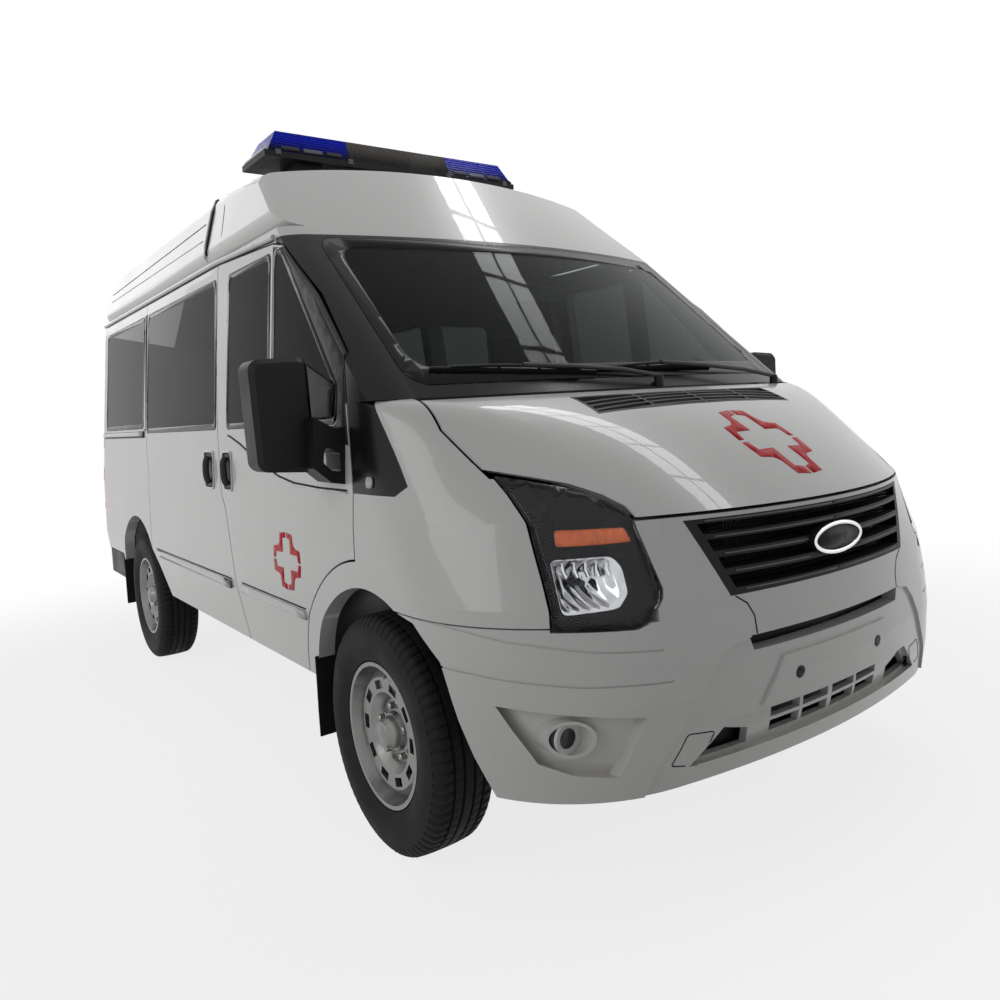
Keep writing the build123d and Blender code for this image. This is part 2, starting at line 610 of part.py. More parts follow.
with BuildPart() as front_wings:
    for side, _ in SIDES:
        for stock in (nose_low, nose_high):
            add(piece(stock, side_prism(WING, side)))
        add(door_cuts[side], mode=Mode.SUBTRACT)
        add(openings[side], mode=Mode.SUBTRACT)
        add(lamp_prisms[side], mode=Mode.SUBTRACT)
        add(side_prism(SAIL, side), mode=Mode.SUBTRACT)
    add(bonnet_room, mode=Mode.SUBTRACT)
    add(box_between((-844, -1780, 1100), (844, -1300, COWL_Z + 5)), mode=Mode.SUBTRACT)
    add(box_between((-622, -2500, 700), (622, -1700, 1100)), mode=Mode.SUBTRACT)
save(front_wings.part, "front_wings")

fog_x, fog_z, bezel_radius, fog_radius = FOG_LAMP
step_stock = piece(layer(bumper_volume, front_volume(BUMPER_LEVELS, STEP_DEPTH)),
                   front_prism(CENTRE_STEP, -2450, -2200), without=(front_prism(PLATE_PAD, -2450, -2200),))
recess_stock = piece(layer(bumper_volume, front_volume(BUMPER_LEVELS, RECESS_DEPTH)),
                     fused([front_prism(LOWER_INTAKE, -2450, -2200)]
                           + [front_prism(half_view(FOG_RECESS, side), -2450, -1900) for side, _ in SIDES]))
crease_stock = piece(layer(bumper_volume, front_volume(BUMPER_LEVELS, CREASE_DEPTH)),
                     fused([groove(line, CREASE_WIDTH, -2450, -1650, side) for line in CREASES for side, _ in SIDES]))
intake_holes = fused([front_prism(half_view(outline, side), -2450, -2200)
                      for outline in INTAKE_HOLES for side, _ in SIDES])
with BuildPart() as front_bumper:
    add(piece(nose_low, front_prism(BUMPER_FRONT, -2450, -1650),
              without=(*lamp_prisms.values(), *openings.values(), front_prism(GRILLE, -2450, -2200),
                       front_prism(UPPER_SLOT, -2450, -2200))))
    for stock in (step_stock, recess_stock, crease_stock, intake_holes):
        add(stock, mode=Mode.SUBTRACT)
    for side, _ in SIDES:
        with Locations(Plane.XZ.offset(2300) * Location((side * fog_x, fog_z))):
            Cylinder(bezel_radius, 260, align=(Align.CENTER, Align.CENTER, Align.MAX), mode=Mode.SUBTRACT)
        with Locations(Plane.XZ.offset(HALF_LENGTH) * Location((side * PLATE_HOLE_X, PLATE_Z))):
            Cylinder(PLATE_HOLE_RADIUS, 200, mode=Mode.SUBTRACT)
save(front_bumper.part, "front_bumper")

with BuildPart() as fog_lamps:
    for side, _ in SIDES:
        with Locations(Plane.XZ.offset(2300) * Location((side * fog_x, fog_z))):
            Cylinder(bezel_radius, FOG_LAMP_REAR, align=(Align.CENTER, Align.CENTER, Align.MAX))
            Cylinder(fog_radius, FOG_LAMP_REAR - 40, align=(Align.CENTER, Align.CENTER, Align.MAX), mode=Mode.SUBTRACT)
    add(front_volume(BUMPER_LEVELS, CREASE_DEPTH), mode=Mode.INTERSECT)
save(fog_lamps.part, "fog_lamps")

with BuildPart() as grille:
    add(piece(nose_low, front_prism(GRILLE, -2450, -2200)))
    for z_low, z_high in GRILLE_SLOTS:
        half_low, half_high = 372 + (z_low - 790) * 0.457, 372 + (z_high - 790) * 0.457
        add(front_prism(((half_low, z_low), (half_high, z_high), (-half_high, z_high), (-half_low, z_low)),
                        -2450, -2200), mode=Mode.SUBTRACT)
    badge_z, badge_half, badge_height = BADGE
    with BuildSketch(Plane.XZ.offset(HALF_LENGTH - 1)):
        with Locations((0, badge_z)):
            Ellipse(badge_half, badge_height)
    extrude(amount=-40)
save(grille.part, "grille")

# ---------------------------------------------------------------- rear bumper
with BuildPart() as rear_bumper:
    for grow, mode in ((0, Mode.ADD), (-60, Mode.SUBTRACT)):
        with BuildSketch(Plane.XY.offset(REAR_BUMPER_BASE)) as outline:
            with Locations((0, HALF_LENGTH + grow - 400)):
                Rectangle(2 * (BUMPER_HALF + grow), 800)
            fillet(outline.vertices().group_by(Axis.Y)[-1], radius=130 + grow)
        extrude(amount=REAR_BUMPER_TOP - 4 - REAR_BUMPER_BASE, mode=mode)
    with Locations((0, REAR_BUMPER_Y + 2 - 500, 400)):
        Box(2200, 1000, 800, mode=Mode.SUBTRACT)
save(rear_bumper.part, "rear_bumper")

# ---------------------------------------------------------------- floor with wheel boxes, and the frame beneath
with BuildPart() as floor:
    add(box_between((-1000, -1434, FLOOR_Z - FLOOR_THICKNESS), (1000, 2600, FLOOR_Z)))
    for side, _ in SIDES:
        y, z, radius = REAR_ARCH
        with BuildSketch(Plane.YZ.offset(side * WHEEL_BOX_X)):
            with Locations((y, z)):
                Circle(radius + WHEEL_BOX_WALL)
        extrude(amount=side * 400)
        with BuildSketch(Plane.YZ.offset(side * (WHEEL_BOX_X + WHEEL_BOX_WALL))):
            with Locations((y, z)):
                Circle(radius)
        extrude(amount=side * 400, mode=Mode.SUBTRACT)
        y, z, radius = FRONT_ARCH
        with BuildSketch(Plane.YZ.offset(side * WHEEL_ROOM_X)):
            with Locations((y, z)):
                Circle(radius + LINER_WALL)
        extrude(amount=side * 500, mode=Mode.SUBTRACT)
    add(box_between((-1100, -2000, 0), (1100, 2600, FLOOR_Z - FLOOR_THICKNESS)), mode=Mode.SUBTRACT)
    add(cabin_volume(WALL + GAP), mode=Mode.INTERSECT)
    fixing_x, fixing_front, fixing_rear = FIXING_HOLES
    with Locations(*[(x, y, FLOOR_Z) for x in (-fixing_x, fixing_x) for y in (fixing_front, fixing_rear)]):
        Cylinder(FIXING_RADIUS, 3 * FLOOR_THICKNESS, mode=Mode.SUBTRACT)
save(floor.part, "floor")

with BuildPart() as chassis_frame:
    for side, _ in SIDES:
        with Locations((side * RAIL_X, (RAIL_FRONT_Y + RAIL_REAR_Y) / 2, FRAME_Z)):
            Box(RAIL_WIDTH, RAIL_REAR_Y - RAIL_FRONT_Y, RAIL_HEIGHT)
        for y in JACK_PADS:
            with Locations((side * RAIL_X, y, (JACK_PAD_Z + FRAME_Z) / 2)):
                Cylinder(28, FRAME_Z - JACK_PAD_Z)
    for y in CROSSMEMBERS:
        with Locations((0, y, FRAME_Z)):
            Box(2 * RAIL_X, 90, RAIL_HEIGHT - 20)
    add(piece(front_volume(BUMPER_LEVELS, WALL),
              box_between((-640, -2400, FRAME_Z - RAIL_HEIGHT / 2), (640, -2230, FRONT_BEAM_TOP))))
save(chassis_frame.part, "chassis_frame")

# ---------------------------------------------------------------- engine with gearbox, radiator and propshaft
with BuildPart() as engine:
    add(box_between((-270, -2120, FRAME_Z - RAIL_HEIGHT / 2), (270, -1480, 1040)))
    fillet(engine.edges().filter_by(Axis.Y).group_by(Axis.Z)[-1], radius=60)
    add(box_between((-140, -1490, FRAME_Z - RAIL_HEIGHT / 2), (140, -1420, FLOOR_Z - FLOOR_THICKNESS - 2)))
    add(box_between((-140, -1430, GEARBOX_Z - 105), (140, GEARBOX_REAR_Y, GEARBOX_Z + 105)))
save(engine.part, "engine")

with BuildPart() as radiator:
    add(box_between((-370, -2285, FRAME_Z + RAIL_HEIGHT / 2), (370, -2235, 950)))
save(radiator.part, "radiator")

# ---------------------------------------------------------------- exhaust and fuel tank
with BuildPart() as exhaust:
    with BuildLine() as route:
        FilletPolyline(*EXHAUST_ROUTE, radius=70)
    with BuildSketch(Plane(origin=EXHAUST_ROUTE[0], z_dir=route.line % 0)):
        Circle(PIPE_RADIUS)
    sweep()
    with Locations(Plane.XZ.offset(-SILENCER[0]) * Location((EXHAUST_X, EXHAUST_Z))):
        Cylinder(SILENCER[2], SILENCER[1] - SILENCER[0], align=(Align.CENTER, Align.CENTER, Align.MAX))
    for y in HANGERS:
        add(box_between((EXHAUST_X - 8, y - 12, EXHAUST_Z), (EXHAUST_X + 8, y + 12, FRAME_Z - RAIL_HEIGHT / 2 + 10)))
save(exhaust.part, "exhaust")

with BuildPart() as fuel_tank:
    add(box_between(*TANK))
    fillet(fuel_tank.edges().filter_by(Axis.Y), radius=45)
save(fuel_tank.part, "fuel_tank")

# ---------------------------------------------------------------- axles, springs and knuckles
with BuildPart() as front_axle:
    with Locations((0, FRONT_AXLE_Y, SUBFRAME_Z)):
        Box(2 * RAIL_X + RAIL_WIDTH, 110, 2 * (FRAME_Z - RAIL_HEIGHT / 2 - SUBFRAME_Z))
    for side, _ in SIDES:
        with BuildSketch(Plane.XY.offset(ARM_Z)):
            with BuildLine():
                Polyline((side * 330, FRONT_AXLE_Y - 50), (side * STEER_PIVOT_X, FRONT_AXLE_Y - 26),
                         (side * STEER_PIVOT_X, FRONT_AXLE_Y + 26), (side * 330, FRONT_AXLE_Y + 50), close=True)
            make_face()
            with Locations((side * STEER_PIVOT_X, FRONT_AXLE_Y)):
                Circle(26)
        extrude(amount=ARM_THICKNESS)
        with Locations((side * 300, FRONT_AXLE_Y, ARM_Z + 50)):
            Box(80, 110, 100)
        with BuildSketch(Plane.XY.offset(ARM_Z)):
            with Locations((side * STRUT_X, FRONT_AXLE_Y)):
                Circle(24)
        extrude(amount=FRONT_ARCH[1] + FRONT_ARCH[2] - ARM_Z)
        with Locations((side * STRUT_X, FRONT_AXLE_Y, 620)):
            Cylinder(58, 260)
        with Locations((side * STEER_PIVOT_X, FRONT_AXLE_Y, ARM_Z + ARM_THICKNESS + PIN_LENGTH / 2)):
            Cylinder(PIN_RADIUS, PIN_LENGTH)
    add(arch_liners.part, mode=Mode.SUBTRACT)
save(front_axle.part, "front_axle")

for side, name in SIDES:
    with BuildPart() as knuckle:
        lug_z = ARM_Z + ARM_THICKNESS + 2
        with Locations((side * (STEER_PIVOT_X - 8), FRONT_AXLE_Y, lug_z + 120)):
            Box(46, 70, 240)
        with Locations(Plane.YZ.offset(side * (STEER_PIVOT_X - 10)) * Location((FRONT_AXLE_Y, HUB_Z))):
            Cylinder(STUB_RADIUS, STUB_LENGTH, align=(Align.CENTER, Align.CENTER, Align.MIN if side > 0 else Align.MAX))
            Cylinder(BRAKE_RADIUS, 40, align=(Align.CENTER, Align.CENTER, Align.MIN if side > 0 else Align.MAX))
        with Locations((side * STEER_PIVOT_X, FRONT_AXLE_Y, lug_z)):
            Cylinder(PIN_RADIUS + 0.1, 2 * PIN_LENGTH, mode=Mode.SUBTRACT)
    save(knuckle.part, f"knuckle_{name}")

with BuildPart() as rear_axle:
    with Locations(Plane.YZ * Location((REAR_AXLE_Y, HUB_Z))):
        Cylinder(42, 2 * (STEER_PIVOT_X - 40))
        Cylinder(STUB_RADIUS, 2 * (STEER_PIVOT_X - 10 + STUB_LENGTH))
    for side, _ in SIDES:
        with Locations((side * (STEER_PIVOT_X - 20), REAR_AXLE_Y, HUB_Z)):
            Cylinder(BRAKE_RADIUS, 90, rotation=(0, 90, 0))
    with Locations((0, REAR_AXLE_Y, HUB_Z)):
        Sphere(135)
save(rear_axle.part, "rear_axle")

with BuildPart() as propshaft:
    with Locations(Plane.XZ.offset(-GEARBOX_REAR_Y) * Location((0, GEARBOX_Z))):
        Cylinder(34, 60, align=(Align.CENTER, Align.CENTER, Align.MAX))
    shaft_start, shaft_end = Vector(0, GEARBOX_REAR_Y + 40, GEARBOX_Z), Vector(0, REAR_AXLE_Y - 120, HUB_Z)
    with BuildSketch(Plane(origin=shaft_start, z_dir=shaft_end - shaft_start)):
        Circle(38)
    extrude(amount=(shaft_end - shaft_start).length)
    add(rear_axle.part, mode=Mode.SUBTRACT)
save(propshaft.part, "propshaft")

with BuildPart() as leaf_springs:
    for side, _ in SIDES:
        with BuildSketch(Plane.YZ.offset(side * SPRING_X)):
            with BuildLine():
                lower = ThreePointArc((REAR_AXLE_Y - SPRING_REACH, 430), (REAR_AXLE_Y, HUB_Z - 72),
                                      (REAR_AXLE_Y + SPRING_REACH, 430))
                upper = ThreePointArc((REAR_AXLE_Y - SPRING_REACH, 450), (REAR_AXLE_Y, HUB_Z - 43),
                                      (REAR_AXLE_Y + SPRING_REACH, 450))
                Line(lower @ 0, upper @ 0)
                Line(lower @ 1, upper @ 1)
            make_face()
        extrude(amount=35, both=True)
        for reach in (-SPRING_REACH, SPRING_REACH):
            with Locations((side * SPRING_X, REAR_AXLE_Y + reach, (430 + FLOOR_Z - FLOOR_THICKNESS) / 2)):
                Box(60, 46, FLOOR_Z - FLOOR_THICKNESS - 430)
    add(floor.part, mode=Mode.SUBTRACT)
save(leaf_springs.part, "leaf_springs")

# ---------------------------------------------------------------- wheels
rim_half = RIM_DEPTH / 2
tyre_half = TYRE_WIDTH / 2
RIM_SECTION = ((-rim_half, RIM_RADIUS), (8 - rim_half, RIM_RADIUS), (8 - rim_half, BEAD_RADIUS),
               (rim_half - 8, BEAD_RADIUS), (rim_half - 8, RIM_RADIUS), (rim_half, RIM_RADIUS),
               (rim_half, RIM_RADIUS - 12), (40, 190), (62, 165), (60, 120), (28, 95), (34, 60), (48, 55),
               (48, HUB_BORE), (14, HUB_BORE), (14, 95), (48, 128), (48, 160), (26, 192), (-rim_half, 195))
TYRE_SECTION = ((8 - rim_half, BEAD_RADIUS), (8 - rim_half, RIM_RADIUS + 2), (-rim_half, RIM_RADIUS + 2),
                (-tyre_half, 275), (-tyre_half + 6, 325), (-tyre_half + 22, 348), (-tyre_half + 40, TYRE_RADIUS),
                (tyre_half - 40, TYRE_RADIUS), (tyre_half - 22, 348), (tyre_half - 6, 325), (tyre_half, 275),
                (rim_half, RIM_RADIUS + 2), (rim_half - 8, RIM_RADIUS + 2), (rim_half - 8, BEAD_RADIUS))
WHEELS = tuple((f"{end}_{name}", side, y) for end, y in (("front", FRONT_AXLE_Y), ("rear", REAR_AXLE_Y))
               for side, name in SIDES)
for place, side, y in WHEELS:
    for points, node in ((RIM_SECTION, "rim"), (TYRE_SECTION, "tyre")):
        with BuildPart() as ring:
            with BuildSketch(Plane.XY.offset(HUB_Z)):
                with BuildLine():
                    Polyline(*[(side * (WHEEL_X + x), y + r) for x, r in points], close=True)
                make_face()
            revolve(axis=Axis((0, y, HUB_Z), (1, 0, 0)))
            if node == "rim":
                with Locations(Plane.YZ.offset(side * WHEEL_X) * Location((y, HUB_Z))):
                    with PolarLocations(143, 10):
                        Box(26, 44, 200, mode=Mode.SUBTRACT)
        save(ring.part, f"{node}_{place}")

# ---------------------------------------------------------------- mud flaps
with BuildPart() as mud_flaps:
    for side, _ in SIDES:
        for y in MUD_FLAPS:
            with Locations((side * MUD_FLAP_X, y, MUD_FLAP_BASE + 135)):
                Box(130, 7, 270)
    add(arch_liners.part, mode=Mode.SUBTRACT)
    add(floor.part, mode=Mode.SUBTRACT)
save(mud_flaps.part, "mud_flaps")

# ---------------------------------------------------------------- cab: dashboard, steering wheel, seats, bulkhead
steer_plane = Plane(origin=STEERING_WHEEL, x_dir=(1, 0, 0), z_dir=STEERING_AXIS)
with BuildPart() as dashboard:
    with BuildSketch(Plane.YZ):
        with BuildLine():
            Polyline(*DASH, close=True)
        make_face()
    extrude(amount=DASH_HALF, both=True)
    with Locations(steer_plane.offset(-60)):
        Cylinder(46, 330, align=(Align.CENTER, Align.CENTER, Align.MAX))
    with Locations(steer_plane):
        Cylinder(28, 290, align=(Align.CENTER, Align.CENTER, Align.MAX), mode=Mode.SUBTRACT)
    add(box_between((-1000, -1600, 700), (1000, -1440, 1400)), mode=Mode.SUBTRACT)
save(dashboard.part, "dashboard")

with BuildPart() as steering_wheel:
    with BuildSketch(Plane(origin=STEERING_WHEEL, x_dir=(1, 0, 0), z_dir=steer_plane.y_dir)):
        with Locations((STEERING_RADIUS, 0)):
            RegularPolygon(16, 6)
    revolve(axis=Axis(STEERING_WHEEL, STEERING_AXIS))
    with Locations(steer_plane):
        Cylinder(55, 36)
        Cylinder(20, 280, align=(Align.CENTER, Align.CENTER, Align.MAX))
        Box(2 * STEERING_RADIUS, 34, 16)
        with Locations((0, -STEERING_RADIUS / 2)):
            Box(34, STEERING_RADIUS, 16)
save(steering_wheel.part, "steering_wheel")

with BuildPart() as cab_seats:
    for side, _ in SIDES:
        with BuildSketch(Plane.YZ.offset(side * SEAT_X)):
            with BuildLine():
                Polyline(*SEAT_SIDE, close=True)
            make_face()
        extrude(amount=240, both=True)
        with BuildSketch(Plane.YZ.offset(side * SEAT_X)):
            with BuildLine():
                Polyline(*HEADREST, close=True)
            make_face()
        extrude(amount=130, both=True)
save(cab_seats.part, "cab_seats")

bulkhead_slab = box_between((-1000, -110, FLOOR_Z), (1000, -80, ROOF_BASE_Z))
bulkhead = piece(cabin_volume(FRAME_DEPTH), bulkhead_slab,
                 without=(front_prism(((450, 1230), (450, 1720), (-450, 1720), (-450, 1230)), -200, 0, radius=40),))
save(bulkhead, "bulkhead")

# ---------------------------------------------------------------- door mirrors
for side, name in SIDES:
    with BuildPart() as mirror:
        add(front_prism(half_view(MIRROR_HEAD, side), *MIRROR_Y, radius=34))
        front_edges = mirror.edges().filter_by(GeomType.LINE).filter_by(Axis.Y, reverse=True).group_by(Axis.Y)[0]
        chamfer(front_edges, length=14)
        add(front_prism(half_view(MIRROR_ARM, side), *ARM_Y))
        add(front_prism(half_view(MIRROR_LOOP, side), *ARM_Y, radius=10), mode=Mode.SUBTRACT)
        add(cabin, mode=Mode.SUBTRACT)
    save(mirror.part, f"mirror_{name}")

# ---------------------------------------------------------------- light bar
with BuildPart() as light_bar_base:
    with Locations((0, BAR_Y, BAR_BASE_Z + 13)):
        Box(2 * BAR_HALF, 300, 26)
    for side, _ in SIDES:
        with Locations((side * 440, BAR_Y, BAR_BASE_Z - 40)):
            Box(120, 200, 80)
    add(roof_volume(0), mode=Mode.SUBTRACT)
save(light_bar_base.part, "light_bar_base")

LENS_SECTION = ((BAR_Y - 148, BAR_BASE_Z + 26), (BAR_Y + 148, BAR_BASE_Z + 26), (BAR_Y + 110, BAR_TOP_Z),
                (BAR_Y - 110, BAR_TOP_Z))
with BuildPart() as light_bar_lenses:
    for side, _ in SIDES:
        with BuildSketch(Plane.YZ.offset(side * BAR_SPLIT)):
            with BuildLine():
                Polyline(*LENS_SECTION, close=True)
            make_face()
        extrude(amount=side * (BAR_HALF - BAR_SPLIT))
    with BuildPart(mode=Mode.INTERSECT):
        with BuildSketch(Plane.XZ.offset(500)):
            with BuildLine():
                Polyline((-BAR_HALF, BAR_BASE_Z), (BAR_HALF, BAR_BASE_Z), (BAR_TOP_HALF, BAR_TOP_Z),
                         (-BAR_TOP_HALF, BAR_TOP_Z), close=True)
            make_face()
        extrude(amount=-1000)
save(light_bar_lenses.part, "light_bar_lenses")
with BuildPart() as light_bar_centre:
    with BuildSketch(Plane.YZ):
        with BuildLine():
            Polyline(*LENS_SECTION, close=True)
        make_face()
    extrude(amount=BAR_SPLIT, both=True)
save(light_bar_centre.part, "light_bar_centre")
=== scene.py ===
import json
import math

import bmesh
import bpy
from mathutils import Matrix, Vector
from mathutils.bvhtree import BVHTree

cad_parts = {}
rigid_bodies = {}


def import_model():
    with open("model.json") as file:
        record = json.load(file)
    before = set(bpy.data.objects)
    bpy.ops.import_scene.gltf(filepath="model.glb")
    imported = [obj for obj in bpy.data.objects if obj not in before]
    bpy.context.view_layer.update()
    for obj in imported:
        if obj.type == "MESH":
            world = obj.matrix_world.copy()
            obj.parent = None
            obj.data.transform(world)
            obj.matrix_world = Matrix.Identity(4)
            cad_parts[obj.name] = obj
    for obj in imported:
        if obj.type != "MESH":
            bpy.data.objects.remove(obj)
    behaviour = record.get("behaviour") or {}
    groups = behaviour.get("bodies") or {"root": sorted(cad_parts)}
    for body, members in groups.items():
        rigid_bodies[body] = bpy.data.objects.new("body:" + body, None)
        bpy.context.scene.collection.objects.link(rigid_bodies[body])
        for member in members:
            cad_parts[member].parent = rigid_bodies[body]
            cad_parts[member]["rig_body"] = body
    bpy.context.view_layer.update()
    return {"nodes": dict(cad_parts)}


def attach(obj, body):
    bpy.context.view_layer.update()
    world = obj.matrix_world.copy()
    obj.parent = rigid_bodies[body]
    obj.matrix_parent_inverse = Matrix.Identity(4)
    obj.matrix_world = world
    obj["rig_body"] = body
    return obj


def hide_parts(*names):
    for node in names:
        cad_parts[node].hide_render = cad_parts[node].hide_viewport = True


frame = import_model()
NODES = frame["nodes"]

# ---- sizes, in metres
TYRE_RADIUS = 0.354
WHEEL_X = 0.870
FRONT_AXLE_Y = -1.4985
REAR_AXLE_Y = 1.4345
HUB_Z = TYRE_RADIUS
SIDES = ((1, "left"), (-1, "right"))
WHEELS = tuple((f"{end}_{name}", side, y) for end, y in (("front", FRONT_AXLE_Y), ("rear", REAR_AXLE_Y))
               for side, name in SIDES)
DECAL_LIFT = 0.0008
SHARP_DEGREES = 35


# ---- materials
def feed(tree, node, inputs):
    """Gives each named input of a node its value, or the link to the output that feeds it."""
    for key, value in inputs.items():
        if isinstance(value, bpy.types.NodeSocket):
            tree.links.new(value, node.inputs[key])
        else:
            node.inputs[key].default_value = value


def add_node(tree, kind, inputs, **settings):
    node = tree.nodes.new("ShaderNode" + kind)
    for key, value in settings.items():
        setattr(node, key, value)
    feed(tree, node, inputs)
    return node


def blend(tree, amount, base, colour):
    """Mixes base towards a colour."""
    return add_node(tree, "Mix", {"Factor": amount, "A": base, "B": (*colour, 1)}, data_type="RGBA").outputs["Result"]


def surface(name, colour, roughness, metallic=0.0, variation=0.06, scale=8.0, grain=60.0, bump=0.1, depth=0.0005,
            coat=0.0, coat_roughness=0.03, wear=0.04, transmission=0.0, ior=1.5, sheen=0.0, dirt=0.0, gloss=0.5):
    """Procedural finish: clouded colour, varied roughness, fine bump, and road dust that gathers low down."""
    mat = bpy.data.materials.new(name)
    mat.use_nodes = True
    tree = mat.node_tree
    place = add_node(tree, "TexCoord", {}).outputs["Object"]
    clouds = add_node(tree, "TexNoise", {"Vector": place, "Scale": scale, "Detail": 5.0}).outputs["Fac"]
    tint = add_node(tree, "ValToRGB", {"Fac": clouds})
    for stop, position, change in zip(tint.color_ramp.elements, (0.3, 0.7), (-variation, variation)):
        stop.position = position
        stop.color = (*[min(1, c * (1 + change)) for c in colour], 1)
    base = tint.outputs["Color"]
    if dirt:
        height = add_node(tree, "SeparateXYZ", {"Vector": place}).outputs["Z"]
        low = add_node(tree, "MapRange", {"Value": height, "From Min": 0.75, "From Max": 0.30, "To Max": dirt})
        patches = add_node(tree, "Math", {0: low.outputs["Result"], 1: clouds}, operation="MULTIPLY")
        base = blend(tree, patches.outputs["Value"], base, (0.30, 0.26, 0.21))
    fine = add_node(tree, "TexNoise", {"Vector": place, "Scale": grain, "Detail": 3.0})
    rough = add_node(tree, "MapRange", {
        "Value": clouds, "From Min": 0.3, "From Max": 0.7, "To Min": max(0.0, roughness - wear),
        "To Max": min(1.0, roughness + wear)})
    relief = add_node(tree, "Bump", {"Height": fine.outputs["Fac"], "Strength": bump, "Distance": depth})
    feed(tree, tree.nodes["Principled BSDF"], {
        "Base Color": base, "Roughness": rough.outputs["Result"], "Normal": relief.outputs["Normal"],
        "Metallic": metallic, "Coat Weight": coat, "Coat Roughness": coat_roughness,
        "Transmission Weight": transmission, "IOR": ior, "Sheen Weight": sheen, "Specular IOR Level": gloss})
    mat.diffuse_color = (*colour, 1)
    return mat


def waves(mat, direction, scale):
    """Even bands across a finish, as a height."""
    tree = mat.node_tree
    place = tree.nodes["Texture Coordinate"].outputs["Object"]
    return add_node(tree, "TexWave", {"Vector": place, "Scale": scale}, bands_direction=direction).outputs["Fac"]


def add_waves(mat, direction, scale, depth):
    """Moulded ribs or flutes across a finish, as relief."""
    tree = mat.node_tree
    feed(tree, tree.nodes["Bump"], {"Height": waves(mat, direction, scale), "Strength": 0.6, "Distance": depth})
    return mat


def woven(name, colour, pitch):
    """Cloth with crossed threads, as relief."""
    mat = surface(name, colour, 0.9, grain=400, bump=0.3, sheen=0.3)
    tree = mat.node_tree
    weave = add_node(tree, "Math", {0: waves(mat, "X", pitch), 1: waves(mat, "Z", pitch)}, operation="MULTIPLY")
    feed(tree, tree.nodes["Bump"], {"Height": weave.outputs["Value"]})
    return mat


def darken_low(mat, low_z, high_z, colour):
    """Blends a finish to a darker colour below a height, as where a lamp's inner parts show through its lens."""
    tree = mat.node_tree
    shader = tree.nodes["Principled BSDF"]
    height = add_node(tree, "SeparateXYZ", {"Vector": tree.nodes["Texture Coordinate"].outputs["Object"]})
    ramp = add_node(tree, "MapRange", {"Value": height.outputs["Z"], "From Min": high_z, "From Max": low_z})
    base = shader.inputs["Base Color"].links[0].from_socket
    feed(tree, shader, {"Base Color": blend(tree, ramp.outputs["Result"], base, colour)})
    return mat


WHITE = surface("white_paint", (0.60, 0.595, 0.58), 0.30, variation=0.02, scale=2.5, grain=900, bump=0.05,
                depth=0.0002, coat=0.45, coat_roughness=0.03, wear=0.03, dirt=0.30, gloss=0.25)
# Inner lining colours, kept darker than the real grey trim: partly the lining's own colour, partly painted shade
# inside the closed cab.
TRIM_AND_SHADE = surface("inner_trim", (0.035, 0.035, 0.033), 0.75, variation=0.10, scale=5, grain=700, bump=0.3)
HEADLINER_AND_SHADE = surface("headliner_and_shade", (0.07, 0.07, 0.066), 0.9, variation=0.06, scale=6, grain=900, bump=0.3)
BLACK = surface("black_plastic", (0.008, 0.008, 0.009), 0.45, variation=0.2, scale=6, grain=900, bump=0.35,
                depth=0.0003, wear=0.08, gloss=0.18)
GLOSS_BLACK = surface("gloss_black", (0.006, 0.006, 0.007), 0.26, variation=0.2, scale=5, coat=0.03, bump=0.03,
                      gloss=0.14)
# Dark lines: real seams and joints, and also painted shade in the creases and under the drip rails.
SEAM_AND_SHADE = surface("seam_and_shade_line", (0.020, 0.020, 0.020), 0.7, variation=0.2, scale=20, bump=0.1, gloss=0.1)
RUBBER = surface("rubber", (0.013, 0.013, 0.013), 0.75, variation=0.25, scale=12, grain=500, bump=0.4, gloss=0.12)
TYRE = surface("tyre_rubber", (0.016, 0.0155, 0.015), 0.70, variation=0.35, scale=14, grain=350, bump=0.35,
               wear=0.1, gloss=0.15)
STEEL = surface("wheel_steel", (0.24, 0.24, 0.235), 0.30, metallic=0.80, variation=0.15, scale=25, grain=300,
                bump=0.15, wear=0.12)
CHASSIS = surface("chassis_paint", (0.016, 0.016, 0.017), 0.6, variation=0.3, scale=9, grain=200, bump=0.3,
                  wear=0.1, gloss=0.15)
CAST = surface("cast_metal", (0.10, 0.10, 0.10), 0.6, metallic=0.6, variation=0.25, scale=15, grain=220, bump=0.5,
               depth=0.001, wear=0.1)
CHROME = surface("chrome", (0.80, 0.80, 0.80), 0.07, metallic=1.0, variation=0.04, scale=20, bump=0.02, wear=0.02)
SILVER = add_waves(surface("reflector", (0.62, 0.62, 0.64), 0.12, metallic=1.0, variation=0.10, scale=30), "X", 16,
                   0.004)
RED = surface("red_film", (0.52, 0.008, 0.014), 0.40, variation=0.08, scale=12, grain=500, bump=0.05, coat=0.05,
              gloss=0.12)
GREY = surface("grey_plastic", (0.09, 0.09, 0.095), 0.6, variation=0.12, scale=7, grain=800, bump=0.35, wear=0.08)
DARK_GREY = surface("dark_grey_plastic", (0.022, 0.023, 0.024), 0.55, variation=0.12, scale=7, grain=800, bump=0.35,
                    gloss=0.2)
PALE = surface("pale_plastic", (0.55, 0.55, 0.54), 0.45, variation=0.05, scale=7, grain=700, bump=0.2)
CLEAR = surface("clear_glass", (0.30, 0.34, 0.33), 0.01, variation=0.03, scale=3, bump=0.0, wear=0.01,
                transmission=1.0, ior=1.10)
TINTED = surface("tinted_glass", (0.055, 0.064, 0.06), 0.01, variation=0.05, scale=3, bump=0.0, wear=0.01,
                 transmission=1.0, ior=1.08)
LENS = surface("clear_lens", (0.90, 0.91, 0.92), 0.01, variation=0.03, scale=6, bump=0.02, wear=0.01,
               transmission=1.0, ior=1.18)
BLUE = add_waves(darken_low(surface("blue_lens", (0.002, 0.014, 0.60), 0.16, variation=0.10, scale=9, coat=0.02,
                                    transmission=0.10, ior=1.2, gloss=0.12),
                            2.490, 2.545, (0.001, 0.002, 0.030)), "Z", 26, 0.003)
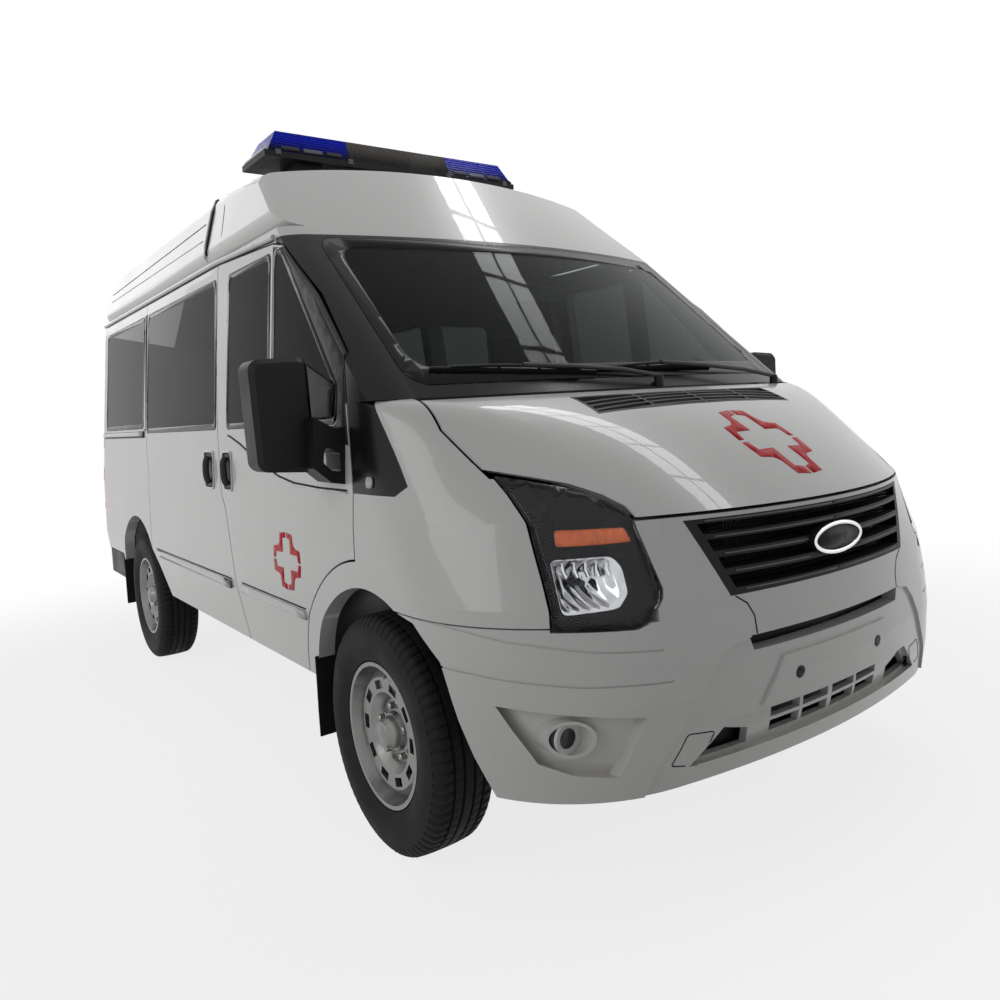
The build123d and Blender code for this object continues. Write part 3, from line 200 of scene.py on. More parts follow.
SMOKED = add_waves(darken_low(surface("smoked_lens", (0.14, 0.13, 0.12), 0.16, variation=0.15, scale=8, coat=0.02,
                                      transmission=0.1, ior=1.2, gloss=0.12),
                              2.500, 2.560, (0.022, 0.020, 0.019)), "X", 30, 0.004)
AMBER = add_waves(surface("amber_lens", (0.80, 0.13, 0.006), 0.15, variation=0.35, scale=60, coat=0.5,
                          transmission=0.3, ior=1.45), "X", 22, 0.002)
RED_LENS = add_waves(surface("red_lens", (0.50, 0.008, 0.010), 0.12, variation=0.1, scale=9, coat=0.6,
                             transmission=0.25, ior=1.45), "Z", 30, 0.001)
CLOTH = woven("seat_cloth", (0.050, 0.052, 0.058), 260)
FLOOR_MAT = surface("floor_vinyl", (0.16, 0.17, 0.18), 0.55, variation=0.15, scale=9, grain=400, bump=0.3)
# The slot of a piece in each material, where its call names no other.
SLOTS = {WHITE: "white_paint", PALE: "white_paint", BLACK: "black_plastic", GLOSS_BLACK: "black_plastic",
         SEAM_AND_SHADE: "black_plastic", RUBBER: "black_plastic", TYRE: "tyre", STEEL: "wheel_steel", CHROME: "lamp_glass",
         SILVER: "lamp_glass", AMBER: "lamp_glass", GREY: "grey_plastic", DARK_GREY: "grey_plastic",
         LENS: "clear_glass", RED: "red_lens", RED_LENS: "red_lens", CLOTH: "seat_cloth"}


# ---- mesh helpers
def ring_faces(rows, count, closed=False):
    """Quads between rings of points; closed joins the last ring to the first."""
    faces = []
    for j in range(rows if closed else rows - 1):
        low, high = j * count, (j + 1) % rows * count
        faces += [(low + i, low + (i + 1) % count, high + (i + 1) % count, high + i) for i in range(count)]
    return faces


def turns(count):
    """The cosine and sine of even steps round a circle."""
    return [(math.cos(2 * math.pi * i / count), math.sin(2 * math.pi * i / count)) for i in range(count)]


def ellipse(centre, half_a, half_b, count):
    return [(centre[0] + half_a * c, centre[1] + half_b * s) for c, s in turns(count)]


def heading(points, i):
    """The direction of a line of points at one of them."""
    return (points[min(i + 1, len(points) - 1)] - points[max(i - 1, 0)]).normalized()


class Shape:
    """Collects closed pieces of mesh, each with a material number."""

    def __init__(self):
        self.verts, self.faces, self.mats = [], [], []

    def add(self, verts, faces, mat=0):
        start = len(self.verts)
        self.verts += [Vector(v) for v in verts]
        self.faces += [[start + i for i in face] for face in faces]
        self.mats += [mat] * len(faces)
        return self

    def rings(self, rings, mat, closed=False):
        """A skin through rings of points, with flat ends unless it is closed on itself."""
        rows, count = len(rings), len(rings[0])
        faces = ring_faces(rows, count, closed)
        if not closed:
            faces += [tuple(reversed(range(count))), tuple(range((rows - 1) * count, rows * count))]
        return self.add([point for ring in rings for point in ring], faces, mat)

    def box(self, low, high):
        corners = [(x, y, z) for z in (low[2], high[2]) for y in (low[1], high[1]) for x in (low[0], high[0])]
        return self.add(corners, [(0, 2, 3, 1), (4, 5, 7, 6), (0, 1, 5, 4), (2, 6, 7, 3), (0, 4, 6, 2), (1, 3, 7, 5)])

    def lathe(self, profile, centre, axis, count=32, mat=0, closed=False):
        """Turns (along, radius) points about axis."""
        along = Vector(axis).normalized()
        across = along.orthogonal().normalized()
        over = along.cross(across)
        rings = [[Vector(centre) + along * a + (across * c + over * s) * r for c, s in turns(count)]
                 for a, r in profile]
        return self.rings(rings, mat, closed)

    def tube(self, points, radius, count=10, mat=0, flat=1.0):
        """A rod along points; flat squeezes it along the second axis."""
        points = [Vector(p) for p in points]
        rings, across = [], None
        for j, p in enumerate(points):
            run = heading(points, j)
            across = (run.orthogonal() if across is None else across - run * across.dot(run)).normalized()
            over = run.cross(across)
            rings.append([p + (across * c + over * s * flat) * radius for c, s in turns(count)])
        return self.rings(rings, mat)

    def prism(self, outline, place, depth):
        """Extrudes a flat outline; place turns (a, b, h) into a point, with h from 0 to depth."""
        n = len(outline)
        verts = [place(a, b, h) for h in (0, depth) for a, b in outline]
        return self.add(verts, [tuple(reversed(range(n))), tuple(range(n, 2 * n)), *ring_faces(2, n)])

    def piece(self, name, mats, slot=None, body="van", **more):
        """Makes the object; with several materials the first one gives the slot."""
        mats = mats if isinstance(mats, list) else [mats]
        mesh = bpy.data.meshes.new(name)
        mesh.from_pydata(self.verts, [], self.faces)
        for mat in mats:
            mesh.materials.append(mat)
        for polygon, number in zip(mesh.polygons, self.mats):
            polygon.material_index = number
        work = bmesh.new()
        work.from_mesh(mesh)
        bmesh.ops.recalc_face_normals(work, faces=work.faces)
        work.to_mesh(mesh)
        work.free()
        return finish_piece(mesh, name, body, slot or SLOTS[mats[0]], **more)


def new_object(name, data):
    made = bpy.data.objects.new(name, data)
    bpy.context.scene.collection.objects.link(made)
    return made


def finish_piece(mesh, name, body, slot, bevel=0.0, subdivide=0, thickness=0.0, replaces=(), sharp=SHARP_DEGREES):
    """Makes the object, with its modifiers and its body, and hides the CAD nodes that it stands for. The slot is not
    used.
    """
    piece = new_object(name, mesh)
    shade(piece, sharp)
    if subdivide:
        modifier(piece, "smoothing", "SUBSURF", levels=subdivide, render_levels=subdivide)
    if bevel:
        rounding(piece, bevel)
    if thickness:
        modifier(piece, "thickness", "SOLIDIFY", thickness=thickness, offset=-1)
    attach(piece, body)
    if replaces:
        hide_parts(*replaces)
    return piece


def shade(piece, sharp=SHARP_DEGREES):
    """Smooth shading, with sharp edges past an angle where one is given."""
    for polygon in piece.data.polygons:
        polygon.use_smooth = True
    if sharp:
        piece.data.set_sharp_from_angle(angle=math.radians(sharp))


def modifier(piece, name, kind, **settings):
    made = piece.modifiers.new(name, kind)
    for key, value in settings.items():
        setattr(made, key, value)
    return made


def rounding(piece, width):
    modifier(piece, "rounding", "BEVEL", width=width, segments=2, limit_method="ANGLE",
             angle_limit=math.radians(SHARP_DEGREES), harden_normals=True, use_clamp_overlap=True)


# ---- outlines, and rays that lay them on CAD nodes
FROM_FRONT = (lambda a, b: (a, -2.7, b)), (0, 1, 0)
FROM_REAR = (lambda a, b: (a, 2.7, b)), (0, -1, 0)
FROM_ABOVE = (lambda a, b: (a, b, 2.8)), (0, 0, -1)
FROM_SIDE = {side: ((lambda a, b, side=side: (side * 1.3, a, b)), (-side, 0, 0)) for side, _ in SIDES}
TREES = {}


def cast(node, rays, a, b):
    """Where the ray of outline point (a, b) meets a CAD node, and the outward normal there."""
    if node not in TREES:
        work = bmesh.new()
        work.from_mesh(NODES[node].data)
        TREES[node] = BVHTree.FromBMesh(work)
        work.free()
    start, way = rays[0](a, b), Vector(rays[1])
    hit, normal, _, _ = TREES[node].ray_cast(Vector(start), way)
    if hit is None:
        return None, None
    return hit, normal if normal.dot(way) < 0 else -normal


def on_face(node, rays, a, b, lift):
    """The point at a height over a CAD node's face."""
    hit, normal = cast(node, rays, a, b)
    return hit + normal * lift


def patch(outline, rays, node, cell, lift, holes):
    """A thin grid cut to a flat outline and laid on a CAD node."""
    work = bmesh.new()
    loops = []
    for points in (outline, *holes):
        ring = [work.verts.new((a, b, 0)) for a, b in points]
        loops += [work.edges.new((ring[i], ring[(i + 1) % len(ring)])) for i in range(len(ring))]
    bmesh.ops.triangle_fill(work, edges=loops, use_beauty=True)
    for axis in (0, 1):
        low = min(p[axis] for p in outline)
        high = max(p[axis] for p in outline)
        steps = int((high - low) / cell)
        for i in range(1, steps + 1):
            at, normal = [0, 0, 0], [0, 0, 0]
            at[axis] = low + (high - low) * i / (steps + 1)
            normal[axis] = 1
            geometry = work.verts[:] + work.edges[:] + work.faces[:]
            bmesh.ops.bisect_plane(work, geom=geometry, plane_co=at, plane_no=normal)
    last = None
    for vert in work.verts:
        hit, normal = cast(node, rays, vert.co.x, vert.co.y)
        if hit is None:
            hit, normal = last
        last = hit, normal
        vert.co = hit + normal * lift
    bmesh.ops.remove_doubles(work, verts=work.verts, dist=1e-6)
    bmesh.ops.recalc_face_normals(work, faces=work.faces)
    if sum(face.normal.dot(Vector(rays[1])) for face in work.faces) > 0:
        bmesh.ops.reverse_faces(work, faces=work.faces)
    mesh = bpy.data.meshes.new("patch")
    work.to_mesh(mesh)
    work.free()
    return mesh


def film(name, outline, rays, node, mat, slot=None, cell=0.02, lift=DECAL_LIFT, thickness=0.0006, holes=(),
         replaces=()):
    """A thin closed layer on a CAD node."""
    mesh = patch(outline, rays, node, cell, lift, holes)
    mesh.materials.append(mat)
    return finish_piece(mesh, name, body_of(node), slot or SLOTS[mat], thickness=thickness, replaces=replaces,
                        sharp=None)


def films(label, outline, rays, node, mat, slot=None, holes=(), **more):
    """The same film left and right; a * in a name stands for the side."""
    for side, name in SIDES:
        flat, openings, way = outline, holes, rays
        if rays is FROM_SIDE:
            way = rays[side]
        else:
            flat, openings = mirrored(outline, side), [mirrored(hole, side) for hole in holes]
        film(label.replace("*", name), flat, way, node.replace("*", name), mat, slot, holes=openings, **more)


def rectangle(a_from, b_from, a_to, b_to):
    return [(a_from, b_from), (a_to, b_from), (a_to, b_to), (a_from, b_to)]


def neighbours(outline):
    """Each corner of a closed outline, between the one before and the one after."""
    points = [Vector(point) for point in outline]
    return zip(points[-1:] + points[:-1], points, points[1:] + points[:1])


def inset(outline, distance):
    """A closed outline moved inwards, corner by corner."""
    area = sum(a[0] * b[1] - b[0] * a[1] for a, b in zip(outline, outline[1:] + outline[:1]))
    turn = 1 if area > 0 else -1
    moved = []
    for before, here, after in neighbours(outline):
        run_in, run_out = (here - before).normalized(), (after - here).normalized()
        left_in = Vector((-run_in.y, run_in.x)) * turn
        left_out = Vector((-run_out.y, run_out.x)) * turn
        middle = (left_in + left_out).normalized()
        moved.append(tuple(here + middle * distance / max(0.35, middle.dot(left_in))))
    return moved


def rounded(outline, radius, steps=5):
    """A closed outline with its corners rounded."""
    points = []
    for before, here, after in neighbours(outline):
        to_before, to_after = before - here, after - here
        reach = min(radius, to_before.length * 0.45, to_after.length * 0.45)
        start, end = here + to_before.normalized() * reach, here + to_after.normalized() * reach
        for j in range(steps + 1):
            t = j / steps
            points.append(tuple(start.lerp(here, t).lerp(here.lerp(end, t), t)))
    return points


def stroke(points, width):
    """Outline of a line of even width through the points."""
    points = [Vector(point) for point in points]
    left, right = [], []
    for i, point in enumerate(points):
        run = heading(points, i)
        across = Vector((-run.y, run.x)) * width / 2
        left.append(tuple(point + across))
        right.append(tuple(point - across))
    return left + right[::-1]


def mirrored(outline, side):
    return [(side * a, b) for a, b in outline]


# ---- CAD nodes that stay, with their finishes
def body_of(node):
    return NODES[node]["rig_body"]


def finish_node(node, mat, bevel, inner=None, is_inner=None):
    """A material for a CAD node, with rounded edges; inner faces may take another one."""
    piece = NODES[node]
    piece.data.materials.clear()
    piece.data.materials.append(mat)
    if inner:
        piece.data.materials.append(inner)
        for polygon in piece.data.polygons:
            polygon.material_index = int(is_inner(polygon.center, polygon.normal))
    shade(piece)
    if bevel:
        rounding(piece, bevel)


def faces_in_x(centre, normal):
    return normal.x * centre.x < 0 and abs(normal.x) > 0.4


def faces_in_y(centre, normal):
    return normal.y * centre.y < 0 and abs(normal.y) > 0.4


def faces_down(centre, normal):
    inwards = normal.x * centre.x < 0
    return (normal.z < -0.25 and (inwards or abs(normal.x) < 0.25)) or (inwards and abs(normal.x) > 0.3)


FINISHES = (
    # material, bevel, nodes, then the inner faces' material and test
    # Inner faces take the darker lining, which also paints in the shade inside the body.
    (WHITE, 0.003, "body_side_left body_side_right sliding_door front_door_left front_door_right", TRIM_AND_SHADE, faces_in_x),
    (WHITE, 0.003, "rear_door_left rear_door_right", TRIM_AND_SHADE, faces_in_y),
    (WHITE, 0.003, "high_roof", HEADLINER_AND_SHADE, faces_down),
    (WHITE, 0.003, "front_bumper", CHASSIS, faces_in_y),
    (WHITE, 0.002, "front_wings", CHASSIS, faces_in_x),
    (WHITE, 0.002, "bonnet", CHASSIS, faces_down),
    (WHITE, 0.001, "fog_lamps"),
    (GLOSS_BLACK, 0.002, "windscreen_frame"),
    (CLEAR, 0, "windscreen"),
    (TINTED, 0, "front_door_glass_left front_door_glass_right rear_door_glass_left rear_door_glass_right side_glass"),
    (BLACK, 0.006, "mirror_left mirror_right"),
    (BLACK, 0.004, "rear_bumper light_bar_base"),
    (BLACK, 0.002, "grille steering_wheel"),
    (BLACK, 0.001, "bonnet_vent"),
    (BLACK, 0, "arch_liners"),
    (LENS, 0, "headlamps"),
    (RED_LENS, 0.002, "tail_lamps"),
    (BLUE, 0.006, "light_bar_lenses"),
    (SMOKED, 0.006, "light_bar_centre"),
    (CHASSIS, 0.004, "fuel_tank"),
    (CHASSIS, 0.003, "chassis_frame radiator"),
    (CHASSIS, 0.002, "rear_axle front_axle leaf_springs"),
    (CHASSIS, 0, "propshaft"),
    (CAST, 0.004, "engine"),
    (CAST, 0.002, "knuckle_left knuckle_right"),
    (CAST, 0, "exhaust"),
    (FLOOR_MAT, 0.002, "floor"),
    (GREY, 0.003, "bulkhead"),
    (DARK_GREY, 0.008, "dashboard"),
    (RUBBER, 0.001, "mud_flaps"),
    (CLOTH, 0.01, "cab_seats"),
    (STEEL, 0.0015, " ".join(f"rim_{place}" for place, _, _ in WHEELS)),
)
for mat, bevel, nodes, *inner in FINISHES:
    for node in nodes.split():
        finish_node(node, mat, bevel, *inner)
DOOR_BLACK_Y, DOOR_BLACK_Z = -0.765, 1.255         # the doors' window frames are black ahead of this and above it
for side, name in SIDES:
    door = NODES[f"front_door_{name}"]
    door.data.materials.append(BLACK)
    for polygon in door.data.polygons:
        corners = [door.matrix_world @ door.data.vertices[i].co for i in polygon.vertices]
        if all(corner.y < DOOR_BLACK_Y and corner.z > DOOR_BLACK_Z for corner in corners):
            polygon.material_index = len(door.data.materials) - 1


# ---- tyres with tread
TREAD_PITCHES = 72
COLUMNS_PER_PITCH = 4
GROOVES = (-0.046, -0.016, 0.016, 0.046)
GROOVE_HALF = 0.0045
GROOVE_DEPTH = 0.008
TREAD_EDGE = (0.071, 0.3505, True)
CROWN_DROP = 0.0030
SHOULDER_CUT = 0.006
BLOCK_CUT = 0.004
CUT_SLANT = 25


def tyre_profile():
    """(across, radius, is tread) from the inner bead over the tread to the outer bead."""
    inner = [(-0.0765, 0.2035), (-0.0765, 0.2165), (-0.0860, 0.220), (-0.0925, 0.240), (-0.098, 0.262),
             (-0.0995, 0.280), (-0.0985, 0.300), (-0.0955, 0.318), (-0.0950, 0.321), (-0.0885, 0.334),
             (-0.0800, 0.345)]
    tread = [(-TREAD_EDGE[0], *TREAD_EDGE[1:])]
    for groove in GROOVES:
        for reach, deep in ((-GROOVE_HALF, 0), (-GROOVE_HALF + 0.001, 1), (GROOVE_HALF - 0.001, 1), (GROOVE_HALF, 0)):
            x = groove + reach
            crown = TYRE_RADIUS - CROWN_DROP * (abs(x) / 0.07) ** 2.5
            tread.append((x, crown - GROOVE_DEPTH * deep, True))
    tread.append(TREAD_EDGE)
    return [(x, r, False) for x, r in inner] + tread + [(-x, r, False) for x, r in reversed(inner)]


def make_tyre(place, side, y):
    profile = tyre_profile()
    count = TREAD_PITCHES * COLUMNS_PER_PITCH
    verts = []
    for x, r, tread in profile:
        for i in range(count):
            cut = 0.0
            column = i % COLUMNS_PER_PITCH
            if abs(x) > 0.050 and r > 0.320 and column == 0:
                cut = SHOULDER_CUT
            elif tread and 0.0205 < abs(x) < 0.046 and column == (0 if x > 0 else 2):
                cut = BLOCK_CUT
            t = 2 * math.pi * (i + x * CUT_SLANT) / count
            verts.append((side * (WHEEL_X + x), y + (r - cut) * math.cos(t), HUB_Z + (r - cut) * math.sin(t)))
    Shape().add(verts, ring_faces(len(profile), count, closed=True)).piece(
        f"tread_tyre_{place}", TYRE, body=f"wheel_{place}", replaces=(f"tyre_{place}",))


# ---- wheel nuts, hub caps and valves
NUT_CIRCLE = 0.078
VALVE_CIRCLE, VALVE_ANGLE = 0.187, 1.7


def make_hub(place, side, y):
    shape = Shape()
    face = WHEEL_X + 0.030
    shape.lathe([(0, 0.050), (0.030, 0.049), (0.036, 0.045), (0.052, 0.038), (0.056, 0.030), (0.057, 0.0)],
                (side * face, y, HUB_Z), (side, 0, 0), 40)
    for i in range(5):
        t = 2 * math.pi * i / 5 + 0.3
        centre = (side * (face - 0.002), y + NUT_CIRCLE * math.cos(t), HUB_Z + NUT_CIRCLE * math.sin(t))
        shape.lathe([(0, 0.0155), (0.006, 0.0155), (0.007, 0.0115), (0.024, 0.0115), (0.027, 0.008)], centre,
                    (side, 0, 0), 6)
    outwards = Vector((0, math.cos(VALVE_ANGLE), math.sin(VALVE_ANGLE)))
    valve = Vector((side * (WHEEL_X + 0.055), y, HUB_Z)) + outwards * VALVE_CIRCLE
    shape.tube([valve, valve + Vector((side * 0.022, 0, 0)) - outwards * 0.012], 0.0045)
    shape.piece(f"hub_parts_{place}", STEEL, body=f"wheel_{place}", bevel=0.001)


for wheel in WHEELS:
    make_tyre(*wheel)
    make_hub(*wheel)


# ---- medical emblems: a white cross between four brackets
EMBLEM_QUARTER = ((0.035, 1.00), (0.44, 0.95), (0.50, 0.60), (0.60, 0.50), (0.95, 0.44), (1.00, 0.035), (0.82, 0.035),
                  (0.76, 0.27), (0.27, 0.27), (0.27, 0.76), (0.035, 0.82))


def emblem(name, centre, half_a, half_b, rays, node):
    """Four red brackets, with the panel's white left between them as a cross."""
    for i, (sign_a, sign_b) in enumerate(((1, 1), (-1, 1), (-1, -1), (1, -1))):
        outline = [(centre[0] + sign_a * a * half_a, centre[1] + sign_b * b * half_b) for a, b in EMBLEM_QUARTER]
        film(f"{name}_{i + 1}", outline, rays, node, RED, cell=0.03)


emblem("bonnet_emblem", (0.020, -2.195), 0.128, 0.148, FROM_ABOVE, "bonnet")
for side, name in SIDES:
    emblem(f"door_emblem_{name}", (-0.902, 0.812), 0.128, 0.100, FROM_SIDE[side], f"front_door_{name}")

# ---- panes: black borders, dividers and the doors' sails
DOOR_PANE = rectangle(-0.240, 1.903, -0.745, 1.275)
QUARTER_PANE = [(-0.772, 1.903), (-0.852, 1.903), (-1.345, 1.395), (-1.341, 1.275), (-0.772, 1.275)]
SLIDER_PANE = [(-0.085, 1.910), (1.160, 1.910), (1.160, 1.275), (-0.110, 1.275)]
REAR_PANE = rectangle(1.225, 1.910, 2.262, 1.300)
DOOR_FRONT = [(-0.764, 1.920), (-0.866, 1.898), (-1.150, 1.687), (-1.378, 1.480), (-1.405, 1.330), (-1.428, 1.210),
              (-1.300, 1.235), (-0.790, 1.262), (-0.764, 1.262)]
DOOR_SAIL = [(-1.074, 1.480), (-1.322, 1.396), (-1.318, 1.300), (-1.105, 1.300)]
REAR_DOOR_PANE = [(0.110, 1.310), (0.110, 1.850), (0.660, 1.850), (0.700, 1.310)]
PANE_RADIUS = 0.028
PRINT = {"lift": 0.0006, "thickness": 0.0004}      # black print on glass

PANES = (
    # name, outline, rays, CAD node, width, cell
    ("door_pane_edge_*", DOOR_PANE, FROM_SIDE, "front_door_glass_*", 0.024, 0.08),
    ("quarter_pane_edge_*", QUARTER_PANE, FROM_SIDE, "front_door_glass_*", 0.022, 0.08),
    ("middle_pane_edge_*", SLIDER_PANE, FROM_SIDE, "side_glass", 0.026, 0.08),
    ("rear_pane_edge_*", REAR_PANE, FROM_SIDE, "side_glass", 0.026, 0.08),
    ("rear_pane_edge_*_rear", REAR_DOOR_PANE, FROM_REAR, "rear_door_glass_*", 0.030, 0.1),
)
for label, outline, rays, glass, width, cell in PANES:
    films(label, rounded(inset(outline, 0.002), PANE_RADIUS), rays, glass, GLOSS_BLACK,
          holes=(rounded(inset(outline, width), PANE_RADIUS),), cell=cell, **PRINT)
films("door_frame_black_*", DOOR_FRONT, FROM_SIDE, "front_door_*", BLACK,
      holes=(rounded(inset(QUARTER_PANE, -0.0035), PANE_RADIUS),), cell=0.05, lift=0.0007)
films("door_sail_*", DOOR_SAIL, FROM_SIDE, "front_door_glass_*", DARK_GREY, cell=0.05, lift=0.004, thickness=0.003)
POSTS = (
    # name, side, CAD node, from y, to y
    ("post_black_left", 1, "body_side_left", 1.158, 1.228),
    ("post_black_right", -1, "body_side_right", 1.179, 1.228),
    ("slider_post_black", -1, "sliding_door", 1.157, 1.170),
)
for label, side, node, y_from, y_to in POSTS:
    film(label, rectangle(y_from, 1.912, y_to, 1.292), FROM_SIDE[side], node, GLOSS_BLACK, cell=0.08, lift=0.0006)

# ---- windscreen: printed border and mirror
SCREEN = [(0.800, 1.931), (0.826, 1.372), (-0.826, 1.372), (-0.800, 1.931)]
SCREEN_CLEAR = [(0.752, 1.888), (0.782, 1.425), (-0.782, 1.425), (-0.752, 1.888)]
film("windscreen_edge", rounded(inset(SCREEN, 0.003), 0.058), FROM_FRONT, "windscreen", GLOSS_BLACK,
     holes=(rounded(SCREEN_CLEAR, 0.075),), cell=0.05, **PRINT)
hit, normal = cast("windscreen", FROM_FRONT, 0.0, 1.800)
stem = Shape()
stem.tube([hit - normal * 0.006, hit - normal * 0.030 + Vector((0, 0.030, -0.030))], 0.010)
foot = hit - normal * 0.030 + Vector((0, 0.045, -0.045))
stem.prism(rounded(rectangle(-0.115, -0.032, 0.115, 0.032), 0.022), lambda a, b, h: foot + Vector((a, h, b)), 0.022)
stem.piece("inner_mirror", DARK_GREY, "black_plastic", bevel=0.003)


# ---- door handles
GRIP_ARCH = ((0.0, 0.004), (0.12, 0.017), (0.5, 0.020), (0.88, 0.017), (1.0, 0.004))


def handle(name, outline, side, node, y_top, y_low):
    """A dark pocket with a raised rim and an upright grip."""
    rays, pocket = FROM_SIDE[side], rounded(outline, 0.016)
    film(f"{name}_pocket", pocket, rays, node, BLACK, lift=0.0010)
    film(f"{name}_rim", rounded(inset(outline, -0.007), 0.022), rays, node, WHITE, holes=(pocket,), lift=0.0050,
         thickness=0.0045)
    points = [on_face(node, rays, y_top + (y_low - y_top) * t, 1.165 + (1.050 - 1.165) * t, lift)
              for t, lift in GRIP_ARCH]
    Shape().tube(points, 0.014, 12, flat=0.55).piece(f"{name}_grip", DARK_GREY, "black_plastic", body_of(node),
                                                     subdivide=1)


for side, name in SIDES:
    handle(f"front_handle_{name}", [(-0.200, 1.181), (-0.305, 1.181), (-0.325, 1.034), (-0.232, 1.034)], side,
           f"front_door_{name}", -0.255, -0.285)
handle("slider_handle", [(0.062, 1.181), (-0.062, 1.181), (-0.078, 1.034), (0.030, 1.034)], -1, "sliding_door",
       -0.010, -0.035)

# ---- lines and strips along the sides
BELT = [(-0.262, 1.252), (-0.302, 1.246), (-0.420, 1.218), (-0.641, 1.153), (-0.850, 1.104), (-0.991, 1.086),
        (-1.200, 1.078), (-1.420, 1.077)]
BELT_LIGHT = [(y, z - 0.007) for y, z in BELT]
DOOR_STRIP = [(-0.395, 0.664), (-1.045, 0.660), (-1.058, 0.632), (-0.395, 0.634)]
DOOR_STRIP_CREASE_SHADE = [(-0.395, 0.671), (-1.055, 0.668)]
SIDE_STRIP = [(0.975, 0.664), (-0.360, 0.664), (-0.360, 0.634), (0.995, 0.634)]
SIDE_STRIP_CREASE_SHADE = [(1.000, 0.671), (-0.365, 0.671)]
STRIP = {"lift": 0.008, "thickness": 0.0075, "cell": 0.1}

# A dark line painted as the shade in the belt crease, over a raised white lip.
films("belt_line_*", stroke(BELT, 0.006), FROM_SIDE, "front_door_*", SEAM_AND_SHADE)
films("belt_light_*", stroke(BELT_LIGHT, 0.006), FROM_SIDE, "front_door_*", WHITE, lift=0.004, thickness=0.0035)
films("door_rub_strip_*", DOOR_STRIP, FROM_SIDE, "front_door_*", WHITE, **STRIP)
# A dark line painted as the shade in the crease above the rub strip.
films("door_rub_line_*", stroke(DOOR_STRIP_CREASE_SHADE, 0.005), FROM_SIDE, "front_door_*", SEAM_AND_SHADE, cell=0.1)
for label, side, node in (("slider", -1, "sliding_door"), ("side", 1, "body_side_left")):
    film(f"{label}_rub_strip", SIDE_STRIP, FROM_SIDE[side], node, WHITE, **STRIP)
    # A dark line painted as the shade in the crease above the rub strip.
    film(f"{label}_rub_crease_shade", stroke(SIDE_STRIP_CREASE_SHADE, 0.005), FROM_SIDE[side], node, SEAM_AND_SHADE, cell=0.1)
film("slider_track_slot", rectangle(1.200, 1.288, 2.330, 1.252), FROM_SIDE[-1], "body_side_right", BLACK, cell=0.1)
film("slider_track_cover", rectangle(1.240, 1.284, 2.318, 1.262), FROM_SIDE[-1], "body_side_right", WHITE,
     lift=0.009, thickness=0.008, cell=0.1)

# ---- drip rails, roof seams and the strap over the roof
RAIL_FROM, RAIL_TO, RAIL_STEPS = -0.780, 2.350, 32
ROOF_LINES = (
    # name, points (y, z), width, material, lift, thickness
    ("roof_seam", [(-0.090, 2.000), (-0.060, 2.150), (-0.020, 2.290)], 0.005, SEAM_AND_SHADE, 0.0008, 0.0006),
    ("roof_line_upper", [(0.230, 2.206), (2.300, 2.176)], 0.005, SEAM_AND_SHADE, 0.0008, 0.0006),
    ("roof_line_lower", [(0.230, 2.130), (2.300, 2.128)], 0.004, PALE, 0.0015, 0.0012),
    ("roof_strap_black", [(0.128, 1.996), (0.128, 2.296)], 0.020, RUBBER, 0.0060, 0.0055),
    ("roof_strap_white", [(0.150, 1.990), (0.150, 2.296)], 0.014, PALE, 0.0085, 0.0080),
)
for side, name in SIDES:
    rail_points, rail_shade_points = [], []
    for i in range(RAIL_STEPS + 1):
        y = RAIL_FROM + (RAIL_TO - RAIL_FROM) * i / RAIL_STEPS
        z = 1.950 + 0.028 * min(1.0, (y + 0.78) / 0.70)
        hit, normal = cast("high_roof" if y < -0.11 else f"body_side_{name}", FROM_SIDE[side], y, z)
        if hit is not None:
            rail_points.append(hit + normal * 0.006)
            # Just under the rail, where its shade falls.
            rail_shade_points.append(hit + normal * 0.001 + Vector((0, 0, -0.012)))
    Shape().tube(rail_points, 0.0095).piece(f"drip_rail_{name}", WHITE)
    # A dark tube under each drip rail, painted as the shade beneath it.
    Shape().tube(rail_shade_points, 0.0028, 8).piece(f"drip_rail_shade_{name}", SEAM_AND_SHADE)
for label, points, width, mat, lift, thickness in ROOF_LINES:
    films(f"{label}_*", stroke(points, width), FROM_SIDE, "high_roof", mat, lift=lift, thickness=thickness, cell=0.06)

# ---- repeaters and mirror glass
MIRROR_GLASS = rounded([(1.040, 1.165), (1.180, 1.178), (1.188, 1.452), (1.048, 1.462)], 0.020)
MIRROR_SPLIT = [(1.042, 1.262), (1.184, 1.272), (1.184, 1.267), (1.042, 1.257)]
films("side_repeater_*", rounded(rectangle(-1.555, 1.122, -1.590, 1.090), 0.015), FROM_SIDE, "windscreen_frame", PALE,
      "lamp_glass", lift=0.006, thickness=0.0055)
films("mirror_glass_*", MIRROR_GLASS, FROM_REAR, "mirror_*", CHROME, "clear_glass", lift=0.0015, thickness=0.0012,
      cell=0.1)
films("mirror_split_*", MIRROR_SPLIT, FROM_REAR, "mirror_*", BLACK, lift=0.0025, thickness=0.002, cell=0.1)

# ---- headlamps behind clear lenses
HEADLAMP = [(0.600, 0.991), (0.604, 1.028), (0.631, 1.055), (0.682, 1.085), (0.746, 1.106), (0.814, 1.127),
            (0.807, 1.075), (0.805, 1.006), (0.812, 0.862), (0.821, 0.751), (0.652, 0.745), (0.625, 0.755),
            (0.581, 0.810), (0.574, 0.833)]
REFLECTOR = [(0.786, 0.919), (0.668, 0.921), (0.652, 0.895), (0.654, 0.833), (0.686, 0.798), (0.796, 0.789)]
INDICATOR = [(0.762, 0.987), (0.626, 0.985), (0.617, 0.950), (0.768, 0.948)]
HOUSING_DEPTH = 0.014
BOWL_DEPTH = 0.075
BOWL_STEPS = (0.0, 0.12, 0.30, 0.50, 0.70, 0.86)      # from the edge towards the middle
BULB = [(0.0, 0.013), (0.012, 0.013), (0.016, 0.008), (0.050, 0.008), (0.055, 0.0)]
WALL = 0.0015


